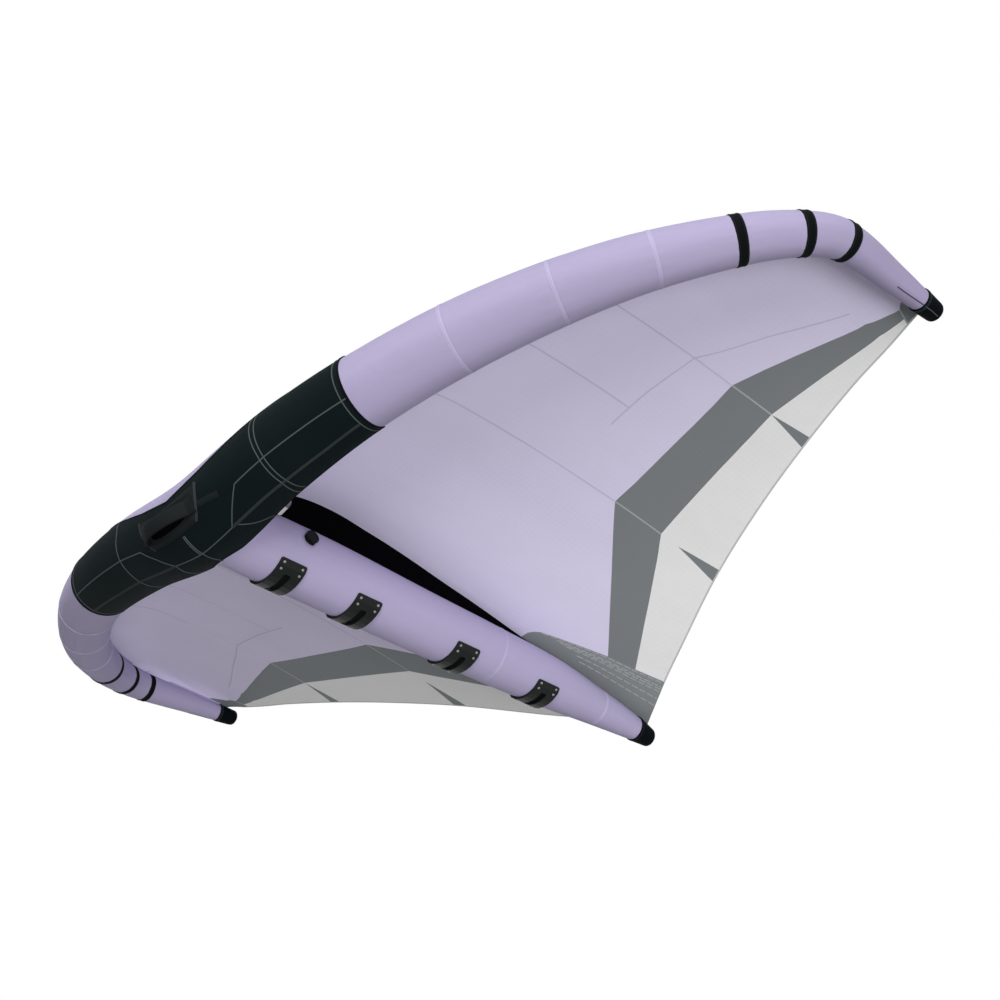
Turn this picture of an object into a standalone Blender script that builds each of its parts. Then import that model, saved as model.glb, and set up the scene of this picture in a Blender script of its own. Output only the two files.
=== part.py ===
"""Wingfoil wing seen from the handle side: inflated leading edge and strut, canopy, handle plates and valve.

The origin is the flat seat on the front arm of the first handle plate. X runs along the span, Y backwards
along the strut and Z upwards, with the canopy above the strut.
"""

import math

import bmesh
import bpy
from mathutils import Vector

# Leading edge: half span to the middle of a tip, how far a tip lies behind and above the nose, and its radii
half_span = 1.600
edge_sweep = 1.099
edge_rise = 0.391
nose_radius = 0.121
casing_wall = 0.003
edge_sides = 16
# Each row is a station of one half: shares of the half span, sweep, rise and nose radius above
edge_station_shares = (
    (0.000, 0.000, 0.000, 1.000),
    (0.200, 0.004, 0.124, 0.917),
    (0.396, 0.039, 0.253, 0.821),
    (0.594, 0.135, 0.452, 0.744),
    (0.781, 0.277, 0.647, 0.626),
    (0.916, 0.441, 0.821, 0.522),
    (0.980, 0.560, 0.923, 0.463),
    (1.005, 0.654, 0.973, 0.420),
    (1.004, 0.846, 0.992, 0.307),
    (1.000, 1.000, 1.000, 0.208),
)
# Shares of the length of one half of the leading edge
panel_end_share = 0.279
middle_seam_share = 0.518
band_shares = (0.714, 0.788, 0.838)
cap_start_share = 0.971
# Where the tube has its rings and the canopy its ribs
row_shares = (0.000, 0.052, 0.115, 0.180, 0.262, 0.279, 0.340, 0.399, 0.450, 0.498, 0.518, 0.570, 0.623,
              0.668, 0.714, 0.751, 0.788, 0.813, 0.838, 0.870, 0.898, 0.925, 0.960, 1.000)
band_width = 0.026
band_thickness = 0.0008
end_cap_wall = 0.003
end_cap_dome = 0.014
end_cap_turns = (math.radians(30.0), math.radians(60.0))
clearance = 0.0003

# Strut: from the nose axis to the tail, with its underside straight and lifted only near the tail
strut_length = 1.719
strut_radius = 0.098
strut_tail_lift = 0.031
strut_sides = 16
# Length share, radius share, lift share
strut_station_shares = (
    (0.000, 0.945, 0.000),
    (0.036, 0.960, 0.000),
    (0.144, 0.990, 0.000),
    (0.240, 0.990, 0.000),
    (0.414, 0.940, 0.000),
    (0.589, 0.888, 0.100),
    (0.734, 0.796, 0.350),
    (0.850, 0.592, 0.710),
    (0.943, 0.408, 0.940),
    (1.000, 0.245, 1.000),
)
tail_cap_start_share = 0.950
# Length shares of the strut's rings, the first one on the rear of the leading edge
strut_neck_share = 0.060
strut_row_shares = (0.095, 0.170, 0.240, 0.320, 0.414, 0.500, 0.589, 0.660, 0.734, 0.790, 0.850, 0.900,
                    0.943, 1.000)

# The nose axis lies this far ahead of the origin and this far above the strut's underside
nose_to_origin = 0.2205
nose_above_underside = 0.0964

# Canopy: its seam on the tube, its section, and the ribs between its rear panels
cloth = 0.002
inner_rib_share = 0.262
outer_rib_share = 0.498
patch_share = 0.925
canopy_end_share = 0.960
# Columns of the main panel, as shares of its chord along the middle line
main_column_shares = (0.000, 0.060, 0.140, 0.280, 0.470, 0.6876, 0.7679, 1.000)
band_columns = 1
trail_columns = 3
patch_columns = 3
probe_share = 0.001
canopy_angle = math.radians(67.5)
# Camber of the middle line, and of the ribs from the inner seam outwards: height and place of the crest as
# chord shares, and how sharply it falls behind the crest
middle_camber_shares = (0.0855, 0.250, 1.25)
rib_camber_shares = (0.075, 0.250, 2.0)
trail_length = 1.697
trail_rise = 0.395
# The middle of the trailing edge stands this far above the strut
tail_gap = 0.0146
# Each row: span share, place behind the nose as a share of trail_length, rise as a share of trail_rise
trail_shares = (
    (0.000, 1.000, 0.000),
    (0.113, 0.939, 0.132),
    (0.188, 0.902, 0.215),
    (0.366, 0.820, 0.433),
    (0.531, 0.759, 0.615),
    (0.679, 0.715, 0.770),
    (0.813, 0.682, 0.899),
    (0.938, 0.661, 0.992),
    (1.000, 0.658, 1.000),
)
# Edge share of a rib, and the span share at which it meets the trailing edge
rib_end_shares = (
    (0.000, 0.000),
    (0.262, 0.366),
    (0.498, 0.679),
    (0.714, 0.900),
    (0.838, 0.945),
    (0.925, 0.957),
    (0.960, 0.966),
)
# Edge share of a rib, and the chord shares of the dark band's front and rear edges
band_edge_shares = (
    (0.000, 0.922, 0.967),
    (0.058, 0.856, 0.927),
    (0.262, 0.678, 0.824),
    (0.498, 0.686, 0.845),
    (0.714, 0.800, 0.890),
    (0.838, 0.740, 0.890),
    (0.925, 0.520, 0.860),
    (0.960, 0.500, 0.860),
)
# Chord share, and the width of the strip beside the strut as a share of strip_width
strip_width = 0.180
strip_shares = ((0.634, 0.000), (0.708, 0.420), (1.000, 1.000))
strip_blunt_share = 0.004
# Chord share where each wedge starts, and half its width at the trailing edge
wedge_starts_share = (0.876, 0.850)
wedge_half_width = 0.023
wedge_blunt_share = 0.010
wedge_rows = 3

# Panel over the centre of the leading edge, by angle round the tube from its rear, through the top
panel_thickness = 0.0012
panel_high_angle = math.radians(95.0)
panel_low_angle = math.radians(317.0)
# Upper edge of the panel: share of its half length, then height over the nose axis in nose radii
panel_dip_shares = ((0.000, -0.02), (0.10, 0.08), (0.22, 0.22), (0.36, 0.47), (0.51, 0.78), (0.75, 1.25),
                    (1.00, 1.70))

# Front handle
handle_angle = math.radians(213.75)
pad_length = 0.240
pad_width = 0.098
pad_thickness = 0.003
grip_length = 0.216
grip_width = 0.047
grip_thickness = 0.008
grip_height = 0.045
grip_foot_share = 0.82
grip_shoulder_power = 0.7
grip_steps = 18
grip_crown_shares = (0.55, 0.95, 1.0, 0.95, 0.55)

# Handle plates
# Distances of the second, third and fourth plate behind the first
plate_steps = (0.261, 0.630, 0.955)
plate_length = 0.084
plate_thickness = 0.0075
plate_half_turn = math.radians(52.5)
plate_facets = 9
plate_slot_length = 0.022
plate_slot_facets = 5
plate_corner = 0.006
plate_corner_facets = 3
plate_edge_share = 0.5

# Web between strut and canopy
web_thickness = 0.002

# Valve on the flat side of the strut just above its +X corner
valve_place = 0.0545
neck_radius = 0.0165
bore_radius = 0.0128
flange_radius = 0.030
flange_thickness = 0.0015
rim_radius = 0.0190
rim_height = 0.0100
lid_radius = 0.0205
lid_thickness = 0.0032
lid_plug_depth = 0.0020
insert_height = 0.0060
insert_wall = 0.0022
spoke_width = 0.0022
spoke_thickness = 0.0018
hub_radius = 0.0034
stem_radius = 0.0014
disc_radius = 0.0115
disc_thickness = 0.0010
disc_travel = 0.0030
seal_radius = 0.0158
seal_wire = 0.0008
seal_sides = 8
hinge_sides = 16
pin_radius = 0.0010
knuckle_radius = 0.0022
knuckle_length = 0.0060
pin_clearance = 0.0003
lug_thickness = 0.0016
# Height of each lug over the hinge's axis, clear of the lid as it swings
lug_height = 0.0017
lug_top_share = 0.8
valve_sides = 24

# Bladders and the hose between them
bladder_wall = 0.0015
bladder_slack = 0.0010
bladder_sides = 8
bladder_end = 0.020
bladder_end_share = 0.97
hose_radius = 0.012
hose_wall = 0.002
hose_sides = 12
hose_start = 0.085
hose_length = 0.110
hose_insertion = 0.020
# Strut bladder behind the hose: distance in hose insertions, and how far the neck has opened to full width
bladder_neck_shares = ((0.0, 0.0), (1.0, 0.0), (2.0, 0.7), (3.5, 1.0))
cut_overrun = 0.010


def clear_scene():
    for item in list(bpy.data.objects):
        bpy.data.objects.remove(item)


def material(name, colour, roughness, metallic=0.0):
    made = bpy.data.materials.new(name)
    made.use_nodes = True
    shader = made.node_tree.nodes["Principled BSDF"]
    shader.inputs["Base Color"].default_value = (*colour, 1.0)
    shader.inputs["Roughness"].default_value = roughness
    shader.inputs["Metallic"].default_value = metallic
    return made


def between(table, at, column=1):
    """Linear reading of a table whose first column rises."""
    for low, high in zip(table, table[1:]):
        if at <= high[0]:
            part = (at - low[0]) / (high[0] - low[0])
            return low[column] + (high[column] - low[column]) * part
    return table[-1][column]


def smooth(places, values, at):
    """Cubic reading of values at rising places, each slope taken from its two neighbours."""
    last = len(places) - 1
    k = 0
    while k < last - 1 and at > places[k + 1]:
        k += 1

    def slope(i):
        low, high = max(i - 1, 0), min(i + 1, last)
        return (values[high] - values[low]) / (places[high] - places[low])

    step = places[k + 1] - places[k]
    t = (at - places[k]) / step
    start, end = slope(k) * step, slope(k + 1) * step
    return (
        (2 * t**3 - 3 * t**2 + 1) * values[k]
        + (t**3 - 2 * t**2 + t) * start
        + (3 * t**2 - 2 * t**3) * values[k + 1]
        + (t**3 - t**2) * end
    )


def shell(name, outer, inner, look, closed=False, skip=(), flat_faces=False):
    """One closed solid between two matching grids of points.

    The columns run on round to the first where closed is set, and the cells in skip, given by row and
    column, are openings.
    """
    mesh = bmesh.new()
    skins = [[[mesh.verts.new(p) for p in row] for row in grid] for grid in (outer, inner)]
    columns = len(outer[0])
    last = columns if closed else columns - 1
    uses = {}
    for i in range(len(outer) - 1):
        for j in range(last):
            if (i, j) in skip:
                continue
            corners = ((i, j), (i, (j + 1) % columns), (i + 1, (j + 1) % columns), (i + 1, j))
            for skin in skins:
                quad = [skin[r][c] for r, c in corners]
                if flat_faces:
                    mesh.faces.new(quad)
                else:
                    mesh.faces.new((quad[0], quad[1], quad[2]))
                    mesh.faces.new((quad[0], quad[2], quad[3]))
            for a, b in zip(corners, corners[1:] + corners[:1]):
                key = (min(a, b), max(a, b))
                uses[key] = uses.get(key, 0) + 1
    for (a, b), count in uses.items():
        if count == 1:
            rim = [skins[s][r][c] for s, (r, c) in ((0, a), (0, b), (1, b), (1, a))]
            mesh.faces.new(rim)
    return finished(name, mesh, look)


def cup(name, outer, inner, outer_pole, inner_pole, look):
    """Rings open at the first and closed at the last by a pole on each skin."""
    mesh = bmesh.new()
    skins = [[[mesh.verts.new(p) for p in ring] for ring in grid] for grid in (outer, inner)]
    poles = [mesh.verts.new(outer_pole), mesh.verts.new(inner_pole)]
    count = len(outer[0])
    for skin, pole in zip(skins, poles):
        for low, high in zip(skin, skin[1:]):
            for j in range(count):
                k = (j + 1) % count
                mesh.faces.new((low[j], low[k], high[k]))
                mesh.faces.new((low[j], high[k], high[j]))
        for j in range(count):
            mesh.faces.new((skin[-1][j], skin[-1][(j + 1) % count], pole))
    for j in range(count):
        k = (j + 1) % count
        mesh.faces.new((skins[0][0][j], skins[0][0][k], skins[1][0][k], skins[1][0][j]))
    return finished(name, mesh, look)


def closed_tube(name, rings, poles, look):
    """Rings closed at both ends by a pole."""
    mesh = bmesh.new()
    made = [[mesh.verts.new(p) for p in ring] for ring in rings]
    ends = [mesh.verts.new(p) for p in poles]
    count = len(rings[0])
    for low, high in zip(made, made[1:]):
        for j in range(count):
            mesh.faces.new((low[j], low[(j + 1) % count], high[(j + 1) % count]))
            mesh.faces.new((low[j], high[(j + 1) % count], high[j]))
    for ring, end in ((made[0], ends[0]), (made[-1], ends[1])):
        for j in range(count):
            mesh.faces.new((ring[j], ring[(j + 1) % count], end))
    return finished(name, mesh, look)


def finished(name, mesh, look):
    bmesh.ops.recalc_face_normals(mesh, faces=mesh.faces)
    data = bpy.data.meshes.new(name)
    mesh.to_mesh(data)
    mesh.free()
    data.shade_smooth()
    data.set_sharp_from_angle(angle=math.radians(40))
    data.materials.append(look)
    made = bpy.data.objects.new(name, data)
    bpy.context.scene.collection.objects.link(made)
    return made


def centred_on(made, point):
    """Moves an object's origin to a point and leaves its mesh where it is."""
    for vertex in made.data.vertices:
        vertex.co -= point
    made.location = point
    return made


def helper(made):
    made.hide_render = True
    made.display_type = "WIRE"
    made.hide_set(True)
    return made


def combined(made, other, operation):
    step = made.modifiers.new(operation.lower(), "BOOLEAN")
    step.operation = operation
    step.solver = "EXACT"
    step.object = helper(other)
    return made


# Leading edge


def edge_stations():
    """Places along the whole leading edge, from the left tip to the right, with the stations' sizes."""
    half = []
    for span, sweep, rise, radius in edge_station_shares:
        centre = nose_point() + Vector((span * half_span, sweep * edge_sweep, rise * edge_rise))
        half.append((centre, radius * nose_radius))
    places = [0.0]
    for (low, _), (high, _) in zip(half, half[1:]):
        places.append(places[-1] + (high - low).length)
    whole = [(-p, Vector((-c.x, c.y, c.z)), r) for p, (c, r) in zip(places[:0:-1], half[:0:-1])]
    return whole + [(p, c, r) for p, (c, r) in zip(places, half)]


def nose_point():
    return Vector((0, -nose_to_origin, underside_height + nose_above_underside))


def edge_at(place):
    """Centre, direction and radius of the leading edge at a signed length from its middle."""

    def centre(at):
        return Vector([smooth(edge_places, axis, at) for axis in edge_axes])

    ahead = centre(place + clearance) - centre(place - clearance)
    return centre(place), ahead.normalized(), smooth(edge_places, edge_radii, place)


def row_point(place, angle, lift):
    """A point of the tube at one of its rings, on a flat side where the angle isn't that of a corner."""
    centre, along, radius = edge_at(place)
    rear = Vector((0, 0, 1)).cross(along).normalized()
    up = along.cross(rear)
    side = 2 * math.pi / edge_sides
    on_side = math.cos(side / 2) / math.cos(angle % side - side / 2)
    return centre + (rear * math.cos(angle) + up * math.sin(angle)) * (radius + lift) * on_side


def edge_point(place, angle, lift=0.0):
    """A point at an angle round the tube from its rear through the top, on a tube straight between rings."""
    at = min(abs(place) / half_edge, 1)
    for low, high in zip(row_shares, row_shares[1:]):
        if at <= high:
            break
    ends = [row_point(math.copysign(share * half_edge, place), angle, lift) for share in (low, high)]
    return ends[0].lerp(ends[1], (at - low) / (high - low))


def edge_ring(place, lift=0.0, sides=edge_sides):
    return [edge_point(place, 2 * math.pi * k / sides, lift) for k in range(sides)]


def corner_turns(low, high):
    """Two angles and the tube's corners between them."""
    side = 2 * math.pi / edge_sides
    corners = [side * k for k in range(2 * edge_sides) if low < side * k < high]
    return [low] + corners + [high]


def ring_places(low, high):
    """Two places along the edge and the tube's rings between them."""
    rings = sorted({sign * share * half_edge for share in row_shares for sign in (-1, 1)})
    return [low] + [place for place in rings if low < place < high] + [high]


def seam_places(low, high):
    """Ring places of a piece between two seams, which stops short of each by half the clearance."""
    inside = [s * half_edge for s in row_shares if low < s < high]
    return [low * half_edge + clearance / 2] + inside + [high * half_edge - clearance / 2]


def centre_places():
    right = seam_places(0.0, panel_end_share)[1:]
    return [-place for place in reversed(right)] + [0.0] + right


def casing_segment(name, places):
    outer = [edge_ring(place) for place in places]
    inner = [edge_ring(place, -casing_wall) for place in places]
    return shell(name, outer, inner, looks["lilac_cloth"], closed=True)


def leading_edge():
    nose = casing_segment("edge_casing_centre", centre_places())
    combined(nose, hose_cutter("hose_hole_in_casing"), "DIFFERENCE")
    end_share = 1 - (end_cap_wall + clearance / 2) / half_edge
    seams = (panel_end_share, middle_seam_share, *band_shares, end_share)
    for side, word in ((-1, "left"), (1, "right")):
        for low, high, part in zip(seams, seams[1:], ("inner", "shoulder", "bend", "curl", "tip")):
            casing_segment(f"edge_casing_{part}_{word}", [side * place for place in seam_places(low, high)])
        for share, band in zip(band_shares, ("inner", "middle", "outer")):
            seam_band(f"edge_band_{band}_{word}", side * share * half_edge)
        tip_cap(f"tip_cap_{word}", side)


def seam_band(name, place):
    """A reinforcement band round a seam, open where the canopy is sewn to the tube."""
    turns = [2 * math.pi * k / edge_sides for k in range(edge_sides // 4, edge_sides + edge_sides // 8 + 1)]
    places = [place - band_width / 2, place, place + band_width / 2]
    outer = [[edge_point(p, a, clearance + band_thickness) for a in turns] for p in places]
    inner = [[edge_point(p, a, clearance) for a in turns] for p in places]
    return shell(name, outer, inner, looks["black_cloth"])


def tip_cap(name, side):
    """A cap pushed over the end of the tube, with a rounded end."""
    start = cap_start_share * half_edge
    outer = [edge_ring(side * p, clearance + end_cap_wall) for p in (start, half_edge)]
    inner = [edge_ring(side * p, clearance) for p in (start, half_edge - end_cap_wall / 2)]
    centre, along, _ = edge_at(side * half_edge)
    domed_cup(name, outer, inner, centre, along * side)


def domed_cup(name, outer, inner, centre, outwards):
    """A cap whose end is rounded over from the last ring."""
    full = (outer[-1][0] - centre).length
    rim = outer[-1]
    for turn in end_cap_turns:
        shrink = math.cos(turn)
        drop = end_cap_dome * math.sin(turn)
        outer.append([centre + (p - centre) * shrink + outwards * drop for p in rim])
    inner_centre = sum(inner[-1], Vector()) / len(inner[-1])
    cup(name, outer, inner, centre + outwards * end_cap_dome, inner_centre, looks["black_cloth"])


def nose_panel():
    """The protective panel round the front and underside, with its upper edge dipping at the middle."""
    places = centre_places()
    turns = corner_turns(panel_high_angle, panel_low_angle)
    outer = [[edge_point(p, a, clearance + panel_thickness) for a in turns] for p in places]
    inner = [[edge_point(p, a, clearance) for a in turns] for p in places]
    panel = shell("nose_panel", outer, inner, looks["black_cloth"])

    front = -nose_to_origin - 2 * nose_radius
    rear = nose_point().y
    right = [(span * places[-1], nose_point().z + lift * nose_radius) for span, lift in panel_dip_shares]
    left = [(-x, z) for x, z in reversed(right[1:])]
    top = right[-1][1] + cut_overrun
    outline = [(left[0][0], top)] + left + right + [(right[-1][0], top)]
    combined(panel, upright_prism("panel_dip", outline, front, rear), "DIFFERENCE")

    neck = strut_neck_share * strut_length
    ring = strut_ring(neck, 2 * clearance)
    rings = [[Vector((p.x, y, p.z)) for p in ring] for y in (rear, rear + 2 * nose_radius)]
    poles = [sum(ring, Vector()) / strut_sides for ring in rings]
    combined(panel, closed_tube("panel_strut_gap", rings, poles, looks["black_cloth"]), "DIFFERENCE")


def upright_prism(name, outline, front, rear):
    """A solid with an outline in X and Z, between two places along Y."""
    mesh = bmesh.new()
    ends = [[mesh.verts.new((x, y, z)) for x, z in outline] for y in (front, rear)]
    for end in ends:
        mesh.faces.new(end)
    for k in range(len(outline)):
        low, high = ends
        after = (k + 1) % len(outline)
        mesh.faces.new((low[k], low[after], high[after], high[k]))
    return finished(name, mesh, looks["black_cloth"])


def front_handle():
    """A pad on the panel and a grip arched over it, with a gap for the hand."""
    base = 2 * clearance + panel_thickness
    turn = pad_width / 2 / nose_radius
    places = ring_places(-pad_length / 2, pad_length / 2)
    turns = corner_turns(handle_angle - turn, handle_angle + turn)
    outer = [[edge_point(p, a, base + pad_thickness) for a in turns] for p in places]
    inner = [[edge_point(p, a, base) for a in turns] for p in places]
    shell("handle_pad", outer, inner, looks["black_rubber"])

    seat = base + pad_thickness + clearance
    outer, inner = [], []
    for k in range(grip_steps + 1):
        along = 2 * k / grip_steps - 1
        arch = grip_height * max(math.cos(math.pi / 2 * along / grip_foot_share), 0) ** grip_shoulder_power
        turn = grip_width / 2 / (nose_radius + arch)
        across = even_shares(len(grip_crown_shares) - 1)
        turns = [handle_angle + turn * (2 * share - 1) for share in across]
        place = along * grip_length / 2
        inner.append([edge_point(place, a, seat + arch) for a in turns])
        crown = [seat + arch + grip_thickness * share for share in grip_crown_shares]
        outer.append([edge_point(place, a, lift) for a, lift in zip(turns, crown)])
    shell("handle_grip", outer, inner, looks["black_rubber"])


# Strut


def strut_row(share):
    """Height of the strut's axis and its radius at one of its rings."""
    places = [row[0] for row in strut_station_shares]
    radius = strut_radius * smooth(places, [row[1] for row in strut_station_shares], share)
    lift = strut_tail_lift * smooth(places, [row[2] for row in strut_station_shares], share)
    return underside_height + lift + radius, radius


def strut_at(place):
    """Centre and radius of the strut at a length behind the nose axis; it is straight between rings."""
    rows = (0.0, strut_neck_share, *strut_row_shares)
    at = min(place / strut_length, 1)
    for low, high in zip(rows, rows[1:]):
        if at <= high:
            break
    part = (at - low) / (high - low)
    height, radius = (a + (b - a) * part for a, b in zip(strut_row(low), strut_row(high)))
    return Vector((0, place - nose_to_origin, height)), radius


def round_ring(centre, radius, sides):
    turns = [2 * math.pi * k / sides for k in range(sides)]
    return [centre + Vector((math.cos(a), 0, math.sin(a))) * radius for a in turns]


def strut_ring(place, lift=0.0):
    centre, radius = strut_at(place)
    return round_ring(centre, radius + lift, strut_sides)


def against_the_nose(ring):
    """The ring's points moved forward along Y onto the rear of the leading edge, clear of its facets."""
    side = 2 * strut_radius * math.sin(math.pi / strut_sides)
    gap = clearance + side**2 / 8 / nose_radius
    first_row = row_shares[1] * half_edge
    middle, _, middle_radius = edge_at(0)
    moved = []
    for point in ring:
        centre, _, radius = edge_at(first_row)
        part = abs(point.x) / centre.x
        centre = middle.lerp(centre, part)
        reach = middle_radius + (radius - middle_radius) * part + gap
        forward = math.sqrt(max(reach**2 - (point.z - centre.z) ** 2, 0))
        moved.append(Vector((point.x, centre.y + forward, point.z)))
    return moved


def strut():
    neck = strut_neck_share * strut_length
    steps = [share * strut_length for share in strut_row_shares]
    outer = [against_the_nose(strut_ring(neck))] + [strut_ring(p) for p in steps]
    inner = [against_the_nose(strut_ring(neck, -casing_wall))] + [strut_ring(p, -casing_wall) for p in steps]
    casing = shell("strut_casing", outer, inner, looks["lilac_cloth"], closed=True)
    combined(casing, valve_cutter("valve_hole_in_casing", neck_radius + clearance), "DIFFERENCE")

    start = tail_cap_start_share * strut_length
    outer = [strut_ring(p, clearance + end_cap_wall) for p in (start, strut_length)]
    inner = [strut_ring(p, clearance) for p in (start, strut_length)]
    back = Vector((0, end_cap_wall / 2, 0))
    inner[1] = [p + back for p in inner[1]]
    outer[1] = [p + 2 * back for p in outer[1]]
    centre = strut_at(strut_length)[0] + 2 * back
    domed_cup("tail_cap", outer, inner, centre, Vector((0, 1, 0)))


def handle_plates():
    """Plates that straddle the strut's underside, split by a slot into two arms."""
    arm = (plate_length - plate_slot_length) / 2
    rows = [-plate_length / 2, -plate_length / 2 + arm, plate_length / 2 - arm, plate_length / 2]
    edge = (plate_facets - plate_slot_facets) // 2
    gaps = {(1, c) for c in range(edge, edge + plate_slot_facets)}
    step = 2 * plate_half_turn / plate_facets
    turns = [-math.pi / 2 - plate_half_turn + step * k for k in range(plate_facets + 1)]
    thickness = [plate_thickness * (plate_edge_share if a in (turns[0], turns[-1]) else 1) for a in turns]
    first = (plate_length + plate_slot_length) / 4
    for number, further in enumerate((0.0, *plate_steps)):
        ends = [strut_at(first + further + nose_to_origin + row) for row in (rows[0], rows[-1])]
        seat = max(radius for _, radius in ends) + clearance
        reach = seat / math.cos(step / 2)
        height = min(centre.z - radius for centre, radius in ends) + seat - clearance
        middle = Vector((0, first + further, height))
        inner, outer = [], []
        for row in rows:
            spokes = [Vector((math.cos(a), 0, math.sin(a))) for a in turns]
            centre = middle + Vector((0, row, 0))
            inner.append([centre + spoke * reach for spoke in spokes])
            heights = [reach + t / math.cos(step / 2) for t in thickness]
            outer.append([centre + spoke * height for spoke, height in zip(spokes, heights)])
        name = f"handle_plate_{number + 1}"
        plate = shell(name, outer, inner, looks["black_plastic"], skip=gaps, flat_faces=True)
        corners_rounded(plate, plate_corner)


def corners_rounded(made, radius):
    """Rounds the corners that stand across a plate's thickness."""
    mesh = bmesh.new()
    mesh.from_mesh(made.data)
    posts = [e for e in mesh.edges if e.calc_length() < plate_thickness * 2 and e.calc_face_angle() > 1]
    posts = [e for e in posts if abs((e.verts[0].co - e.verts[1].co).y) < clearance]
    facets = plate_corner_facets
    bmesh.ops.bevel(mesh, geom=posts, offset=radius, segments=facets, profile=0.5, affect="EDGES")
    mesh.to_mesh(made.data)
    mesh.free()


# Bladders


def bladders():
    room = math.cos(math.pi / edge_sides)
    places = [share * half_edge for share in row_shares[1:-1]]
    places[-1] = bladder_end_share * half_edge
    places = [-place for place in reversed(places)] + [0.0] + places

    def skin(name, shrink):
        rings = []
        for place in places:
            radius = edge_at(place)[2]
            lift = (radius - casing_wall) * room - bladder_slack - shrink - radius
            rings.append(edge_ring(place, lift, bladder_sides))
        poles = []
        for place in (places[0], places[-1]):
            centre, along, _ = edge_at(place)
            poles.append(centre + along * math.copysign(bladder_end - shrink, place))
        return closed_tube(name, rings, poles, looks["bladder"])

    whole = skin("edge_bladder", 0.0)
    combined(whole, skin("edge_bladder_inside", bladder_wall), "DIFFERENCE")
    combined(whole, hose_cutter("hose_hole_in_bladder"), "DIFFERENCE")

    neck_start = hose_start + hose_length - hose_insertion
    height = hose_height()
    room = math.cos(math.pi / strut_sides)
    small = hose_radius + clearance + bladder_wall
    outer, inner = [], []
    for steps, share in bladder_neck_shares:
        centre, radius = strut_at(neck_start + steps * hose_insertion)
        full = (radius - casing_wall) * room - bladder_slack
        reach = small + (full - small) * share
        centre.z = height + (centre.z - height) * share
        outer.append(round_ring(centre, reach, hose_sides))
        inner.append(round_ring(centre, reach - bladder_wall, hose_sides))
    for share in strut_row_shares[:-1]:
        place = share * strut_length
        if place > neck_start + (bladder_neck_shares[-1][0] + 1) * hose_insertion:
            centre, radius = strut_at(place)
            full = (radius - casing_wall) * room - bladder_slack
            outer.append(round_ring(centre, full, hose_sides))
            inner.append(round_ring(centre, full - bladder_wall, hose_sides))
    end = centre + Vector((0, bladder_end, 0))
    made = cup("strut_bladder", outer, inner, end, end - Vector((0, 2 * bladder_wall, 0)), looks["bladder"])
    combined(made, valve_cutter("valve_hole_in_bladder", flange_radius + clearance), "DIFFERENCE")

    ends = [Vector((0, hose_start + back - nose_to_origin, height)) for back in (0, hose_length)]
    outer = [round_ring(end, hose_radius, hose_sides) for end in ends]
    inner = [round_ring(end, hose_radius - hose_wall, hose_sides) for end in ends]
    shell("transfer_hose", outer, inner, looks["bladder"], closed=True)


def hose_height():
    return strut_at(hose_start + hose_length)[0].z


def hose_cutter(name):
    places = (hose_start - cut_overrun, nose_radius + cut_overrun)
    reach = (hose_radius + clearance) / math.cos(math.pi / hose_sides)
    ends = [Vector((0, place - nose_to_origin, hose_height())) for place in places]
    return closed_tube(name, [round_ring(end, reach, hose_sides) for end in ends], ends, looks["bladder"])


# Canopy


def trail_point(share):
    """A point of the trailing edge at a share of the half span, on the right half."""
    places = [row[0] for row in trail_shares]
    back = trail_length * smooth(places, [row[1] for row in trail_shares], share)
    rise = trail_rise * smooth(places, [row[2] for row in trail_shares], share)
    centre, radius = strut_at(trail_length)
    return Vector((share * half_span, back - nose_to_origin, centre.z + radius + tail_gap + rise))


def canopy_point(place, chord_share):
    """The underside of the canopy at a signed length along the leading edge and a share of the chord."""
    nose = edge_point(place, canopy_angle, clearance)
    tail = trail_point(between(rib_end_shares, abs(place) / half_edge))
    tail.x *= 1 if place > 0 else -1
    outwards = min(abs(place) / (inner_rib_share * half_edge), 1)
    height, crest, fall = (a + (b - a) * outwards for a, b in zip(middle_camber_shares, rib_camber_shares))
    if chord_share < crest:
        drop = (1 - chord_share / crest) ** 2
    else:
        drop = ((chord_share - crest) / (1 - crest)) ** fall
    chord = tail - nose
    return nose + chord * chord_share + Vector((0, 0, height * chord.length * (1 - drop)))


def canopy_upward(place, chord_share):
    """The direction of the cloth's thickness."""
    low, high = max(chord_share - probe_share, 0), min(chord_share + probe_share, 1)
    back = canopy_point(place, high) - canopy_point(place, low)
    across = canopy_point(place + cloth, chord_share) - canopy_point(place - cloth, chord_share)
    return across.cross(back).normalized()


def beside(place, chord_share, gap):
    """The length along the edge at which the cloth lies a gap away from a line."""
    step = math.copysign(clearance, gap)
    reach = canopy_point(place + step, chord_share) - canopy_point(place, chord_share)
    return place + gap * clearance / reach.length


def strip_edge(chord_share):
    return strip_width * between(strip_shares, chord_share) if chord_share > strip_shares[0][0] else 0.0


def rib(share, gap=0.0):
    """A line of the canopy from nose to tail, pushed outwards near the strut to make room for the strip."""

    def at(chord_share):
        inner = inner_rib_share * half_edge
        place = share * half_edge
        if place < inner:
            edge = strip_edge(chord_share)
            place = edge + (inner - edge) * place / inner
        return beside(place, chord_share, gap) if gap else place

    return at


def wedge_line(share, start, side, gap):
    """The side of a wedge, which opens from its apex to the trailing edge."""

    def at(chord_share):
        opened = max(chord_share - start, 0) / (1 - start)
        return beside(share * half_edge + side * wedge_half_width * opened, chord_share, gap)

    return at


def even_shares(count):
    return [k / count for k in range(count + 1)]


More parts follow.
